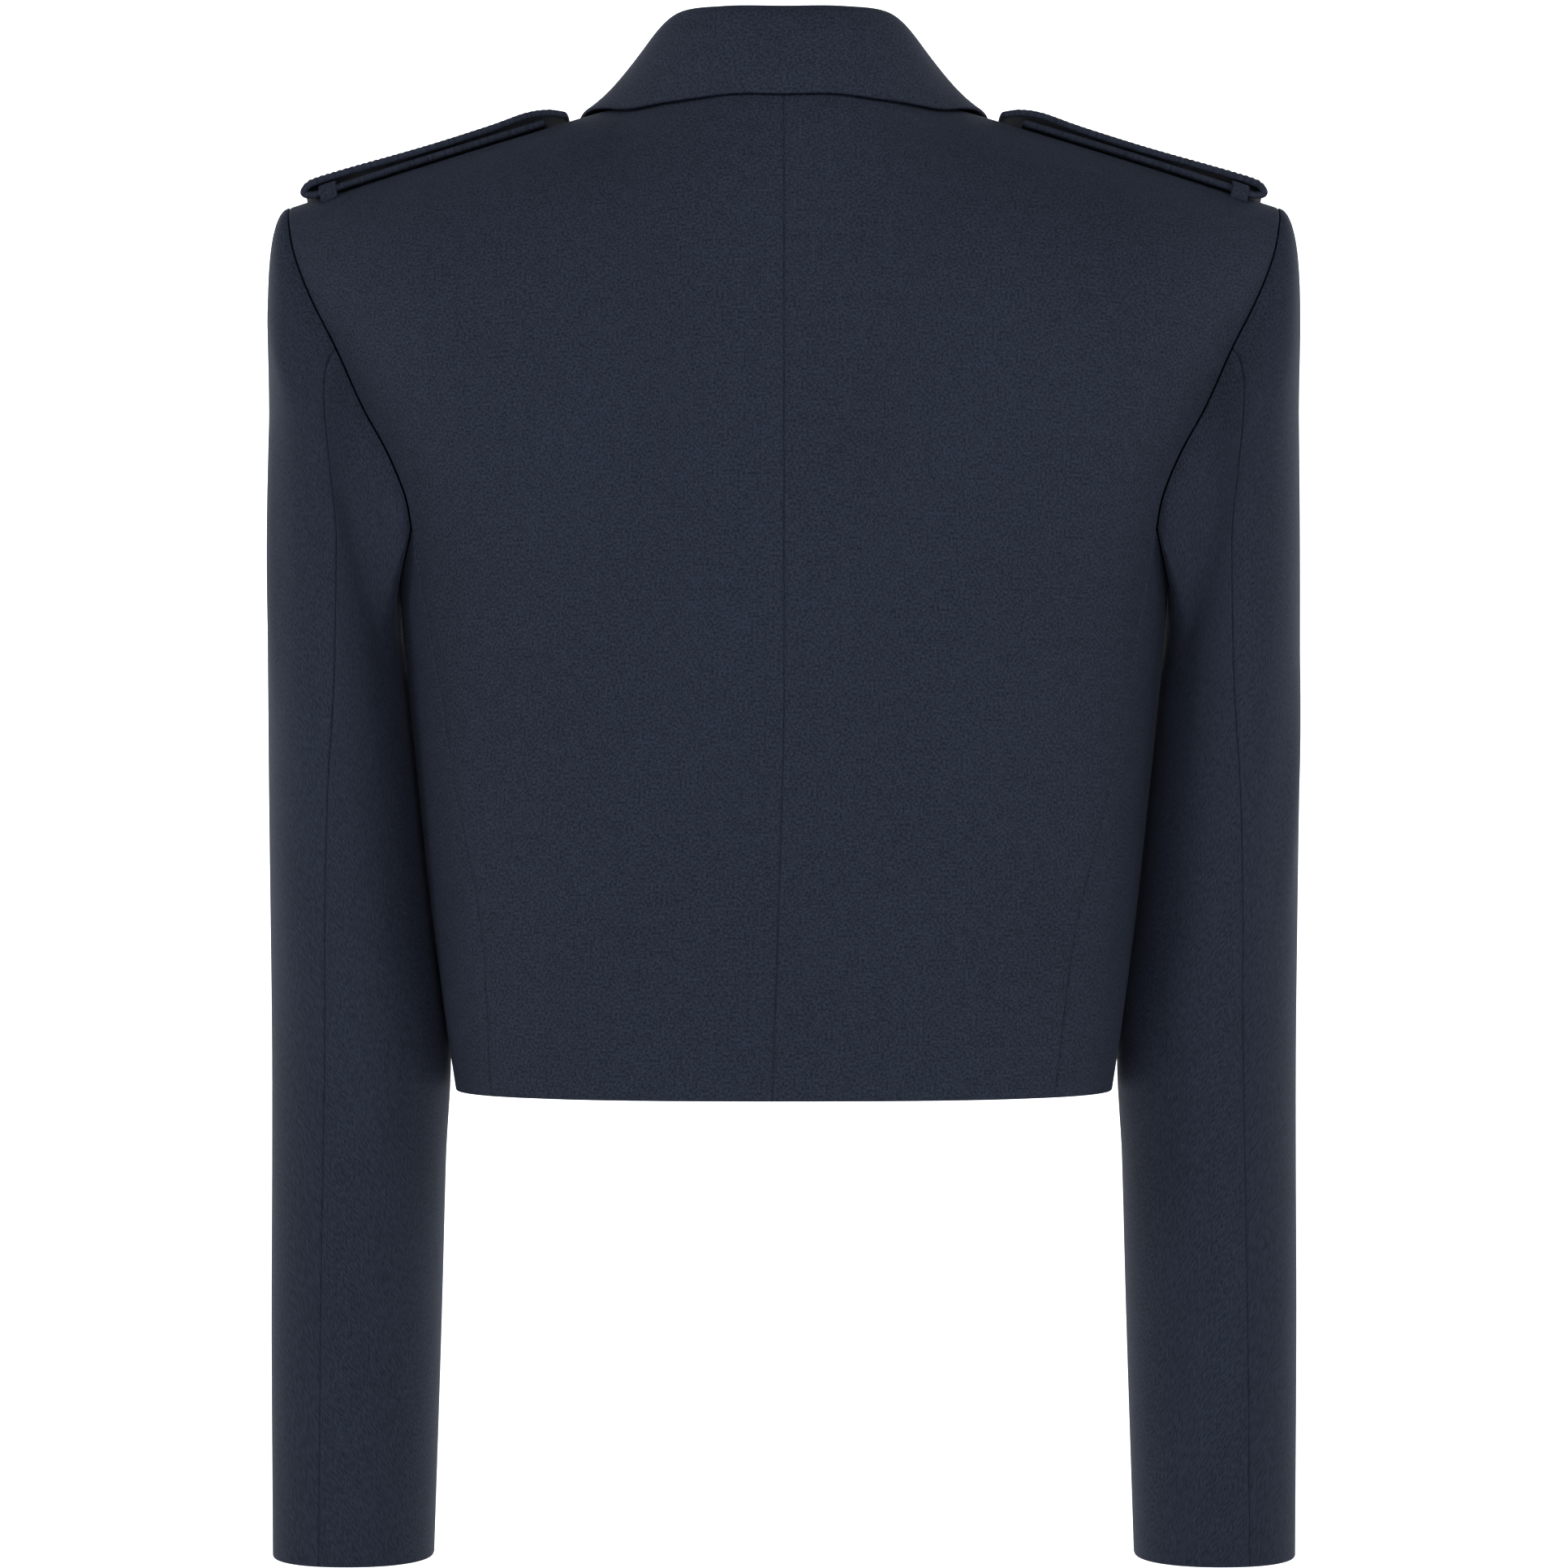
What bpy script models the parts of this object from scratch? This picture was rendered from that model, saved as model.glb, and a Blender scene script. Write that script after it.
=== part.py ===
"""A cropped, tailored jacket in its worn, hollow form, built in panels with walls of real cloth.

Metres, +Z up. The wearer faces -Y, so the back is towards +Y and the wearer's left is +X.
The origin lies between the shoulders, level with the neck end of the visible shoulder line.
"""

import math

import bmesh
import bpy
import numpy as np
from mathutils import Vector

# Driving dimensions
HEM_Z = -0.437
CUFF_Z = -0.652
SHOULDER_TIP_X = 0.2219
NECK_X = 0.0745
SHOULDER_SLOPE = -0.312
SHOULDER_LEVEL_X = 0.0915
NECK_SOFTNESS = 0.030
NECK_RISE = 0.035
NECK_RISE_REACH = 0.075
SEAM_SWING = 0.0052
SWING_START_Z = -0.270
UNDERARM_DROP = 0.024
FRONT_OVERLAP = 0.012
UNDERLAP_REACH = 0.075

# Cloth and gaps
WALL = 0.0020
COLLAR_WALL = 0.0018
LAPEL_WALL = 0.0015
STRAP_WALL = 0.0030
SEAM_GAP = 0.0003
EDGE_PULL = 0.0002
COLLAR_REST = 0.0012
LAPEL_REST = 0.0010
UNDERLAP_SINK = WALL + LAPEL_WALL + LAPEL_REST + 2 * SEAM_GAP
FOLD_CLEARANCE = 0.0042
STAND_INSET = 0.0014

# Cross-section: how square a ring is, and how the shoulders round over, behind and in front
BACK_ROUNDNESS = 2.5
FRONT_ROUNDNESS = 2.3
BACK_DOME_Z = -0.150
FRONT_DOME_Z = -0.220
DOME_POWER = 2.0
SLEEVE_ROUNDNESS = 2.2

NAVY = (0.0222, 0.0285, 0.0480, 1.0)
NAVY_BUTTON = (0.0130, 0.0160, 0.0260, 1.0)


def table(columns, *rows):
    """The named columns of a small table, in the order of its rows."""
    values = np.array(rows, dtype=float)
    return {name: values[:, index] for index, name in enumerate(columns.split())}


BODY = table(
    "z half_width back_depth front_depth",
    (-0.437, 0.1470, 0.0960, 0.0980),
    (-0.414, 0.1505, 0.0975, 0.1010),
    (-0.360, 0.1575, 0.1010, 0.1090),
    (-0.300, 0.1640, 0.1060, 0.1180),
    (-0.240, 0.1700, 0.1110, 0.1230),
    (-0.190, 0.1755, 0.1145, 0.1220),
    (-0.150, 0.1890, 0.1160, 0.1190),
    (-0.110, 0.2090, 0.1160, 0.1160),
    (-0.080, 0.2260, 0.1160, 0.1150),
    (-0.040, 0.2400, 0.1160, 0.1150),
    (0.070, 0.2450, 0.1160, 0.1150),
)

# The side-back and side-front seams, from the hem up to the armhole
SIDE_SEAMS = table(
    "z back_x front_x",
    (-0.437, 0.1235, 0.1180),
    (-0.414, 0.1252, 0.1215),
    (-0.360, 0.1305, 0.1300),
    (-0.300, 0.1437, 0.1405),
    (-0.260, 0.1505, 0.1485),
    (-0.220, 0.1577, 0.1570),
    (-0.188, 0.1635, 0.1645),
)

# The armhole, from the side seams' tops up to the shoulder tip
ARMHOLE = table(
    "back_z back_x front_z front_x",
    (-0.1880, 0.1635, -0.1880, 0.1645),
    (-0.1735, 0.1662, -0.1650, 0.1645),
    (-0.1543, 0.1742, -0.1420, 0.1675),
    (-0.1342, 0.1854, -0.1200, 0.1745),
    (-0.1089, 0.1969, -0.0980, 0.1850),
    (-0.0869, 0.2082, -0.0790, 0.1970),
    (-0.0670, 0.2165, -0.0620, 0.2080),
    (-0.0500, 0.2207, -0.0490, 0.2170),
    (-0.0412, 0.2219, -0.0412, 0.2219),
)
ELBOW_SAMPLE = 4
FORESEAM_SAMPLE = 1
UNDERARM_STEPS = 4
SHOULDER_SHARES = (0.15, 0.32, 0.50, 0.68, 0.84, 1.0)

# The free front edge up to the break, then the roll line up to the gorge
FRONT_EDGE = table(
    "z x",
    (-0.437, 0.006),
    (-0.428, -0.008),
    (-0.410, -0.012),
    (-0.360, -0.012),
    (-0.310, -0.012),
    (-0.262, -0.012),
    (-0.238, -0.0105),
    (-0.190, 0.0090),
    (-0.150, 0.0255),
    (-0.112, 0.0410),
    (-0.078, 0.0540),
)

# The collar, a row for each turn from the centre back, over the shoulder and down to the gorge.
# The neckline and the outer edge lie on the torso, behind it before the shoulder turn.
COLLAR = table(
    "neck_x neck_z fold_x fold_y fold_z edge_x edge_z bulge",
    (0.0000, 0.0100, 0.0000, 0.0680, 0.0397, 0.0000, -0.0020, 0.0050),
    (0.0285, 0.0095, 0.0260, 0.0640, 0.0402, 0.0330, -0.0022, 0.0050),
    (0.0527, 0.0055, 0.0470, 0.0470, 0.0395, 0.0590, -0.0038, 0.0040),
    (0.0688, 0.0035, 0.0585, 0.0240, 0.0300, 0.0795, -0.0022, 0.0015),
    (0.0745, 0.0035, 0.0610, 0.0000, 0.0190, 0.0895, 0.0000, 0.0000),
    (0.0735, -0.0060, 0.0620, -0.0400, 0.0030, 0.0960, -0.0140, 0.0010),
    (0.0680, -0.0300, 0.0605, -0.0720, -0.0300, 0.1000, -0.0350, 0.0020),
    (0.0600, -0.0620, 0.0560, -0.0945, -0.0670, 0.0990, -0.0580, 0.0020),
)
SHOULDER_TURN = 4

# The lapel's inner edge on the roll line and its outer edge, from the break to the gorge
LAPEL = table(
    "roll_x roll_z outer_x outer_z",
    (-0.0085, -0.2340, -0.0050, -0.2360),
    (0.0055, -0.1990, 0.0240, -0.2060),
    (0.0165, -0.1710, 0.0470, -0.1760),
    (0.0270, -0.1450, 0.0670, -0.1500),
    (0.0365, -0.1210, 0.0840, -0.1260),
    (0.0455, -0.0980, 0.0965, -0.1030),
    (0.0540, -0.0740, 0.1030, -0.0800),
)
LAPEL_COLUMNS = 4

# Sleeve rings below the armhole. elbow_turn is where the back seam lies, 0 outside, 90 behind
SLEEVE = table(
    "z inner_x outer_x middle_y half_depth elbow_turn",
    (-0.652, 0.1600, 0.2333, -0.0380, 0.0420, 72),
    (-0.532, 0.1555, 0.2327, -0.0270, 0.0480, 73),
    (-0.470, 0.1535, 0.2318, -0.0210, 0.0520, 74),
    (-0.414, 0.1511, 0.2312, -0.0150, 0.0560, 75),
    (-0.360, 0.1582, 0.2312, -0.0100, 0.0595, 80),
    (-0.303, 0.1646, 0.2314, -0.0060, 0.0630, 87),
    (-0.240, 0.1708, 0.2314, -0.0030, 0.0650, 97),
    (-0.190, 0.1722, 0.2312, -0.0010, 0.0630, 100),
    (-0.130, 0.1700, 0.2307, 0.0000, 0.0600, 100),
)
FORESEAM_TURN = 235
FORESEAM_ARM_TURN = 228
ARM_HALF_DEPTH = 0.057
HEAD_JOIN_Z = -0.135
UNDERARM_JOIN_DROP = 0.125
HEAD_STEPS = 6
TUBE_LEVELS = (0.14, 0.28, 0.42, 0.56, 0.70, 0.85, 1.0)

# The folded shoulder strap: heights of its two faces over the shoulder, along its length
STRAP_UPPER = table(
    "x low high",
    (0.0955, 0.0030, 0.0060),
    (0.1030, 0.0050, 0.0080),
    (0.1130, 0.0056, 0.0086),
    (0.1300, 0.0048, 0.0078),
    (0.1600, 0.0046, 0.0076),
    (0.1950, 0.0057, 0.0087),
    (0.2070, 0.0059, 0.0089),
)
STRAP_LOWER_START_X = 0.1060
STRAP_LOWER_STEPS = 5
STRAP_FOLD_X = 0.2070
STRAP_FOLD_REACH = 0.0072
STRAP_REST = 0.0004
STRAP_WIDTH = 0.042
STRAP_DROOP = 0.5
LOOP_X = (0.1985, 0.2060)
LOOP_WALL = 0.0015

BUTTON_HEIGHTS = (-0.268, -0.352)
BUTTON_RADIUS = 0.010
BUTTON_THICKNESS = 0.003
BUTTON_SIDES = 16
BUTTON_SECTION = table(
    "radius_share height_share",
    (0.70, 0.00),
    (1.00, 0.35),
    (1.00, 0.80),
    (0.86, 1.00),
    (0.70, 0.86),
)

WIDE_STEP = 1e-4
OVER_STEP = 1e-3


def read(rows, column, value, key="z"):
    """A smooth curve through one column of a table, read where the key column has this value."""
    order = np.argsort(rows[key])
    keys = rows[key][order]
    values = rows[column][order]
    value = min(max(value, keys[0]), keys[-1])
    slopes = np.gradient(values, keys)
    index = int(min(np.searchsorted(keys, value, side="right"), len(keys) - 1)) - 1
    step = keys[index + 1] - keys[index]
    part = (value - keys[index]) / step
    rise = values[index + 1] - values[index]
    first, last = slopes[index] * step, slopes[index + 1] * step
    bend = 3 * rise - 2 * first - last + part * (first + last - 2 * rise)
    return values[index] + part * (first + part * bend)


def eased(value):
    """0 below 0, 1 above 1 and an even S between."""
    value = min(max(value, 0.0), 1.0)
    return value * value * (3 - 2 * value)


def shoulder_height(x):
    away = math.hypot(x, NECK_SOFTNESS)
    rise = NECK_RISE * max(0.0, 1 - (x / NECK_RISE_REACH) ** 2) ** 2
    return SHOULDER_SLOPE * (away - SHOULDER_LEVEL_X) + rise


def powered(value, power):
    return math.copysign(abs(value) ** power, value)


def side_shape(side):
    """The dome's start and power, the ring's roundness and the depth column of the back or front."""
    if side > 0:
        return BACK_DOME_Z, DOME_POWER, BACK_ROUNDNESS, "back_depth"
    return FRONT_DOME_Z, DOME_POWER, FRONT_ROUNDNESS, "front_depth"


def torso(x, over):
    """A point of the torso's outer face. over is -1 at the back hem, 1 on the shoulder, 3 in front."""
    side = 1 if over <= 1 else -1
    rise = over if side > 0 else 2 - over
    start, power, roundness, depth = side_shape(side)
    if rise <= 0:
        z = start + rise * (start - HEM_Z)
        dome = 1.0
    else:
        angle = rise * math.pi / 2
        z = start + (shoulder_height(x) - start) * powered(math.sin(angle), 2 / power)
        dome = powered(math.cos(angle), 2 / power)
    half = read(BODY, "half_width", z)
    across = max(0.0, 1 - (abs(x) / half) ** roundness) ** (1 / roundness)
    return Vector((x, side * read(BODY, depth, z) * across * dome, z))


def over_at(x, z, side):
    """The way up the torso at which its back or front face has this height."""
    start, power, _, _ = side_shape(side)
    if z <= start:
        rise = (z - start) / (start - HEM_Z)
    else:
        share = min(1.0, (z - start) / (shoulder_height(x) - start))
        rise = math.asin(share ** (power / 2)) / (math.pi / 2)
    return rise if side > 0 else 2 - rise


def over_from_depth(x, y):
    """The way over the shoulder, near its top, at which the torso lies this far back or forward."""
    _, power, roundness, depth = side_shape(1 if y >= 0 else -1)
    half = read(BODY, "half_width", shoulder_height(x))
    across = (1 - (abs(x) / half) ** roundness) ** (1 / roundness)
    share = abs(y) / (read(BODY, depth, shoulder_height(x)) * across)
    rise = math.acos(share ** (power / 2)) / (math.pi / 2)
    return rise if y >= 0 else 2 - rise


def dome_share(x, z, side):
    """How much of its depth the torso keeps at this height, less than 1 where the shoulder rounds over."""
    start = side_shape(side)[0]
    share = min(1.0, max(0.0, (z - start) / (shoulder_height(x) - start)))
    return (1 - share ** DOME_POWER) ** (1 / DOME_POWER)


def torso_normal(x, over):
    along = torso(x + WIDE_STEP, over) - torso(x - WIDE_STEP, over)
    up = torso(x, over + OVER_STEP) - torso(x, over - OVER_STEP)
    return along.cross(-up).normalized()


def on_torso(x, over, out=0.0):
    return torso(x, over) + torso_normal(x, over) * out


def ring_point(angle, z):
    """A point of the torso below the armhole by its angle, 0 at the side and positive behind."""
    _, _, roundness, depth = side_shape(1 if angle >= 0 else -1)
    x = read(BODY, "half_width", z) * abs(math.cos(angle)) ** (2 / roundness)
    y = read(BODY, depth, z) * powered(math.sin(angle), 2 / roundness)
    return Vector((x, y * dome_share(x, z, 1 if angle >= 0 else -1), z))


def ring_normal(angle, z):
    around = ring_point(angle + OVER_STEP, z) - ring_point(angle - OVER_STEP, z)
    up = ring_point(angle, z + WIDE_STEP) - ring_point(angle, z - WIDE_STEP)
    return around.cross(up).normalized()


def ring_angle(x, z, side):
    roundness = side_shape(side)[2]
    return side * math.acos((x / read(BODY, "half_width", z)) ** (roundness / 2))


def swing(z):
    """How far the back's seams swing to the wearer's left as they near the hem."""
    share = max(0.0, (SWING_START_Z - z) / (SWING_START_Z - HEM_Z))
    return SEAM_SWING * share ** 1.2


def side_seam(z, side, hand):
    """The half width of a side seam. The back ones swing with the centre seam."""
    if side > 0:
        return read(SIDE_SEAMS, "back_x", z) + hand * swing(z)
    return read(SIDE_SEAMS, "front_x", z)


def outer_edge(side, hand):
    """The (x, over) pairs of a back's or front's outer edge: side seam, then armhole."""
    name = "back" if side > 0 else "front"
    pairs = [(side_seam(z, side, hand), z) for z in SIDE_SEAMS["z"][:-1]]
    pairs += list(zip(ARMHOLE[name + "_x"], ARMHOLE[name + "_z"]))
    return [(x, over_at(x, z, side)) for x, z in pairs]


def filled(bottom, top, inner, outer):
    """A grid of (x, over) pairs filled in between its four edges, rows from the bottom up."""
    bottom, top, inner, outer = (np.array(edge) for edge in (bottom, top, inner, outer))
    across = (top[:, 0] - top[0, 0]) / (top[-1, 0] - top[0, 0])
    up = (outer[:, 1] - outer[0, 1]) / (outer[-1, 1] - outer[0, 1])
    u, v = across[None, :, None], up[:, None, None]
    ruled = (1 - v) * bottom[None] + v * top[None] + (1 - u) * inner[:, None] + u * outer[:, None]
    low_corners = (1 - u) * bottom[0] + u * bottom[-1]
    high_corners = (1 - u) * top[0] + u * top[-1]
    return ruled - (1 - v) * low_corners - v * high_corners


def spread(first, last, shares):
    return [tuple(np.array(first) + (np.array(last) - np.array(first)) * share) for share in shares]


def shoulder_seam():
    """The (x, over) pairs of the shoulder seam after its neck end."""
    return [(NECK_X + (SHOULDER_TIP_X - NECK_X) * share, 1.0) for share in SHOULDER_SHARES]


def collar_over(column, turn):
    """The (x, over) pair of the collar's neckline or outer edge at one turn."""
    x = COLLAR[column + "_x"][turn]
    if turn == SHOULDER_TURN:
        return x, 1.0
    return x, over_at(x, COLLAR[column + "_z"][turn], 1 if turn < SHOULDER_TURN else -1)


def neckline(first, last):
    return [collar_over("neck", turn) for turn in range(first, last + 1)]


def pulled(grid, sides):
    """The grid with its named edges drawn in, so that sewn pieces stand a seam's gap apart."""
    grid = np.array(grid, dtype=float)
    edges = {"bottom": (0, 1), "top": (-1, -2)}
    for name, (edge, near) in edges.items():
        if name in sides:
            step = grid[near] - grid[edge]
            grid[edge] += step / np.linalg.norm(step, axis=1, keepdims=True) * EDGE_PULL
    edges = {"first": (0, 1), "last": (-1, -2)}
    for name, (edge, near) in edges.items():
        if name in sides:
            step = grid[:, near] - grid[:, edge]
            grid[:, edge] += step / np.linalg.norm(step, axis=1, keepdims=True) * EDGE_PULL
    return grid


def clear_scene():
    for obj in list(bpy.data.objects):
        bpy.data.objects.remove(obj)


def material(name, colour, roughness):
    made = bpy.data.materials.new(name)
    made.use_nodes = True
    shader = made.node_tree.nodes["Principled BSDF"]
    shader.inputs["Base Color"].default_value = colour
    shader.inputs["Roughness"].default_value = roughness
    shader.inputs["Metallic"].default_value = 0.0
    return made


def finish(name, solid, colour, roughness):
    """Turns a closed mesh outward and makes it an object with its own material."""
    bmesh.ops.remove_doubles(solid, verts=solid.verts, dist=1e-6)
    bmesh.ops.recalc_face_normals(solid, faces=solid.faces)
    if solid.calc_volume(signed=True) < 0:
        bmesh.ops.reverse_faces(solid, faces=solid.faces)
    bmesh.ops.triangulate(solid, faces=solid.faces)
    mesh = bpy.data.meshes.new(name)
    solid.to_mesh(mesh)
    solid.free()
    mesh.shade_smooth()
    mesh.set_sharp_from_angle(angle=math.radians(40))
    mesh.materials.append(material(name, colour, roughness))
    obj = bpy.data.objects.new(name, mesh)
    bpy.context.scene.collection.objects.link(obj)
    return obj


def cloth_wall(name, outer, inner):
    """One closed wall of cloth between two grids of points, its outer and its inner face."""
    solid = bmesh.new()
    faces = [[[solid.verts.new(point) for point in row] for row in grid] for grid in (outer, inner)]
    rows, columns = len(outer), len(outer[0])
    for layer in faces:
        for i in range(rows - 1):
            for j in range(columns - 1):
                solid.faces.new((layer[i][j], layer[i][j + 1], layer[i + 1][j + 1], layer[i + 1][j]))
    rim = [(0, j) for j in range(columns)]
    rim += [(i, columns - 1) for i in range(1, rows)]
    rim += [(rows - 1, j) for j in range(columns - 2, -1, -1)]
    rim += [(i, 0) for i in range(rows - 2, 0, -1)]
    for (a, b), (c, d) in zip(rim, rim[1:] + rim[:1]):
        solid.faces.new((faces[0][a][b], faces[0][c][d], faces[1][c][d], faces[1][a][b]))
    return finish(name, solid, NAVY, 0.85)


def lofted(loops):
    """The side faces through a row of closed loops of points, and the loops' vertices."""
    solid = bmesh.new()
    rings = [[solid.verts.new(point) for point in loop] for loop in loops]
    count = len(rings[0])
    for first, second in zip(rings, rings[1:]):
        for k in range(count):
            after = (k + 1) % count
            solid.faces.new((first[k], first[after], second[after], second[k]))
    return solid, rings


def folded_band(name, loops):
    """A solid through long thin loops, each of two lines side by side, with its ends closed across them."""
    solid, rings = lofted(loops)
    count = len(rings[0])
    for ring in (rings[0], rings[-1]):
        for k in range(count // 2 - 1):
            solid.faces.new((ring[k], ring[k + 1], ring[count - 2 - k], ring[count - 1 - k]))
    return finish(name, solid, NAVY, 0.85)


def mirrored(point, hand):
    return Vector((point[0] * hand, point[1], point[2]))


def panel(name, pairs, hand, sides, wall=WALL, out=lambda x: 0.0):
    """A wall of cloth on the torso from a grid of (x, over) pairs, for the left (1) or right (-1)."""
    faces = []
    for depth in (0.0, wall):
        grid = [[mirrored(on_torso(x, over, out(x) - depth), hand) for x, over in row] for row in pairs]
        faces.append(pulled(grid, sides))
    return cloth_wall(name, *faces)


def make_back(name, hand):
    outer = outer_edge(1, hand)
    levels = [torso(x, over).z for x, over in outer]
    neck_z = COLLAR["neck_z"][0]
    stretch = (neck_z - HEM_Z) / (levels[-1] - HEM_Z)
    centre_levels = [HEM_Z + (z - HEM_Z) * stretch for z in levels]
    centre = [(hand * swing(z), over_at(0.0, z, 1)) for z in centre_levels]
    top = neckline(0, SHOULDER_TURN) + shoulder_seam()
    shares = [x / SHOULDER_TIP_X for x, _ in top]
    bottom = spread(centre[0], outer[0], shares)
    return panel(name, filled(bottom, top, centre, outer), hand, ("first", "last", "top"))


def underarm_height(share):
    """The armhole's height under the arm, from the side-back seam (0) to the side-front seam (1)."""
    return ARMHOLE["back_z"][0] - UNDERARM_DROP * (1 - (2 * share - 1) ** 2)


def make_side(name, hand):
    top_z = SIDE_SEAMS["z"][-1]
    faces = []
    for depth in (0.0, WALL):
        grid = []
        for level in SIDE_SEAMS["z"]:
            part = ((level - HEM_Z) / (top_z - HEM_Z)) ** 2
            row = []
            for step in range(UNDERARM_STEPS + 1):
                share = step / UNDERARM_STEPS
                z = level + part * (underarm_height(share) - top_z)
                first = ring_angle(side_seam(level, 1, hand), level, 1)
                last = ring_angle(side_seam(level, -1, hand), level, -1)
                angle = first + (last - first) * share
                point = ring_point(angle, z) - ring_normal(angle, z) * depth
                row.append(mirrored(point, hand))
            grid.append(row)
        faces.append(pulled(grid, ("first", "last", "top")))
    return cloth_wall(name, *faces)


def underlap(x):
    """How far the left front lies inside the right one, by its distance from the centre."""
    return -UNDERLAP_SINK * eased((UNDERLAP_REACH - x) / (UNDERLAP_REACH - FRONT_OVERLAP))


def make_front(name, hand):
    outer = outer_edge(-1, hand)
    gorge = len(COLLAR["neck_x"]) - 1
    inner = [(x, over_at(x, z, -1)) for z, x in zip(FRONT_EDGE["z"], FRONT_EDGE["x"])]
    inner += neckline(SHOULDER_TURN, gorge)[::-1]
    top = [(NECK_X, 1.0)] + shoulder_seam()
    shares = [(x - NECK_X) / (SHOULDER_TIP_X - NECK_X) for x, _ in top]
    bottom = spread(inner[0], outer[0], shares)
    out = underlap if hand > 0 else lambda x: 0.0
    return panel(name, filled(bottom, top, inner, outer), hand, ("last", "top"), out=out)


def make_lapel(name, hand):
    sink = underlap if hand > 0 else lambda x: 0.0
    pairs = []
    for roll_x, roll_z, outer_x, outer_z in zip(*LAPEL.values()):
        row = spread((roll_x, roll_z), (outer_x, outer_z), np.linspace(0, 1, LAPEL_COLUMNS + 1))
        pairs.append([(x, over_at(x, z, -1)) for x, z in row])
    return panel(name, pairs, hand, (), LAPEL_WALL, lambda x: sink(x) + LAPEL_REST + LAPEL_WALL)


def collar_points(turn, hand):
    """The neckline, fold and outer edge of the collar at one turn."""
    neck = torso(*collar_over("neck", turn))
    fold = Vector([COLLAR["fold_" + axis][turn] for axis in "xyz"])
    rest = COLLAR_REST + COLLAR_WALL
    edge = on_torso(*collar_over("edge", turn), rest)
    return [mirrored(point, hand) for point in (neck, fold, edge)]


def collar_turns():
    last = len(COLLAR["neck_x"]) - 1
    return [(turn, -1) for turn in range(last, 0, -1)] + [(turn, 1) for turn in range(last + 1)]


def grid_walls(grid, wall, toward):
    """The grid and a copy one wall away from it, on the side that faces the given point."""
    grid = np.array(grid, dtype=float)
    along = np.gradient(grid, axis=1)
    up = np.gradient(grid, axis=0)
    normals = np.cross(along, up)
    normals /= np.linalg.norm(normals, axis=2, keepdims=True)
    facing = ((np.array(toward) - grid) * normals).sum()
    return grid, grid + normals * math.copysign(wall, facing)


def make_collar_stand(name):
    grid = []
    for share in (0.0, 0.5, 1.0):
        row = []
        for turn, hand in collar_turns():
            neck, fold, _ = collar_points(turn, hand)
            away = Vector((fold.x, fold.y, 0)).normalized()
            top = fold - (fold - neck).normalized() * FOLD_CLEARANCE - away * STAND_INSET
            start = neck + (top - neck).normalized() * SEAM_GAP
            row.append(start.lerp(top, share))
        grid.append(row)
    return cloth_wall(name, *grid_walls(grid, COLLAR_WALL, (0, 0, 0)))


def make_collar_fall(name):
    grid = []
    for share in (0.0, 0.12, 0.32, 0.55, 0.78, 1.0):
        row = []
        for turn, hand in collar_turns():
            _, fold, edge = collar_points(turn, hand)
            bulge = COLLAR["bulge"][turn]
            away = Vector((fold.x, fold.y, 0)).normalized()
            control = fold.lerp(edge, 0.30) + away * bulge + Vector((0, 0, 2 * bulge))
            row.append(fold.lerp(control, share).lerp(control.lerp(edge, share), share))
        grid.append(row)
    return cloth_wall(name, *grid_walls(grid, COLLAR_WALL, (0, 0, -0.5)))


def armhole_ring():
    """The armhole's points for a left sleeve: down the back, under the arm and up the front."""
    top = len(ARMHOLE["back_z"]) - 1
    ring = []
    for k in range(top, -1, -1):
        x = ARMHOLE["back_x"][k]
        over = over_at(x, ARMHOLE["back_z"][k], 1)
        ring.append((torso(x, over), torso_normal(x, over)))
    first = ring_angle(ARMHOLE["back_x"][0], ARMHOLE["back_z"][0], 1)
    last = ring_angle(ARMHOLE["front_x"][0], ARMHOLE["front_z"][0], -1)
    for step in range(1, UNDERARM_STEPS):
        share = step / UNDERARM_STEPS
        angle = first + (last - first) * share
        z = underarm_height(share)
        ring.append((ring_point(angle, z), ring_normal(angle, z)))
    for k in range(top + 1):
        x = ARMHOLE["front_x"][k]
        over = over_at(x, ARMHOLE["front_z"][k], -1)
        ring.append((torso(x, over), torso_normal(x, over)))
    return ring


def arm_turn(point):
    """Degrees round the armhole: 0 on the shoulder, 90 behind, 180 under the arm."""
    middle_z = (ARMHOLE["back_z"][-1] + underarm_height(0.5)) / 2
    half = ARMHOLE["back_z"][-1] - middle_z
    turn = math.degrees(math.atan2(point.y / ARM_HALF_DEPTH, (point.z - middle_z) / half))
    return turn % 360


def tube_point(turn, z, elbow_turn_here):
    """A point of the hanging sleeve. The turns of its two seams are matched to the armhole's."""
    elbow = read(SLEEVE, "elbow_turn", z)
    foreseam_here = 360 - FORESEAM_ARM_TURN
    angle = np.interp(
        turn,
        (0, elbow_turn_here, 180, 360 - foreseam_here, 360),
        (0, elbow, 180, FORESEAM_TURN, 360),
    )
    angle = math.radians(angle)
    inner, outer = read(SLEEVE, "inner_x", z), read(SLEEVE, "outer_x", z)
    x = (inner + outer) / 2 + (outer - inner) / 2 * powered(math.cos(angle), 2 / SLEEVE_ROUNDNESS)
    depth = read(SLEEVE, "half_depth", z)
    y = read(SLEEVE, "middle_y", z) + depth * powered(math.sin(angle), 2 / SLEEVE_ROUNDNESS)
    return Vector((x, y, z))


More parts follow.
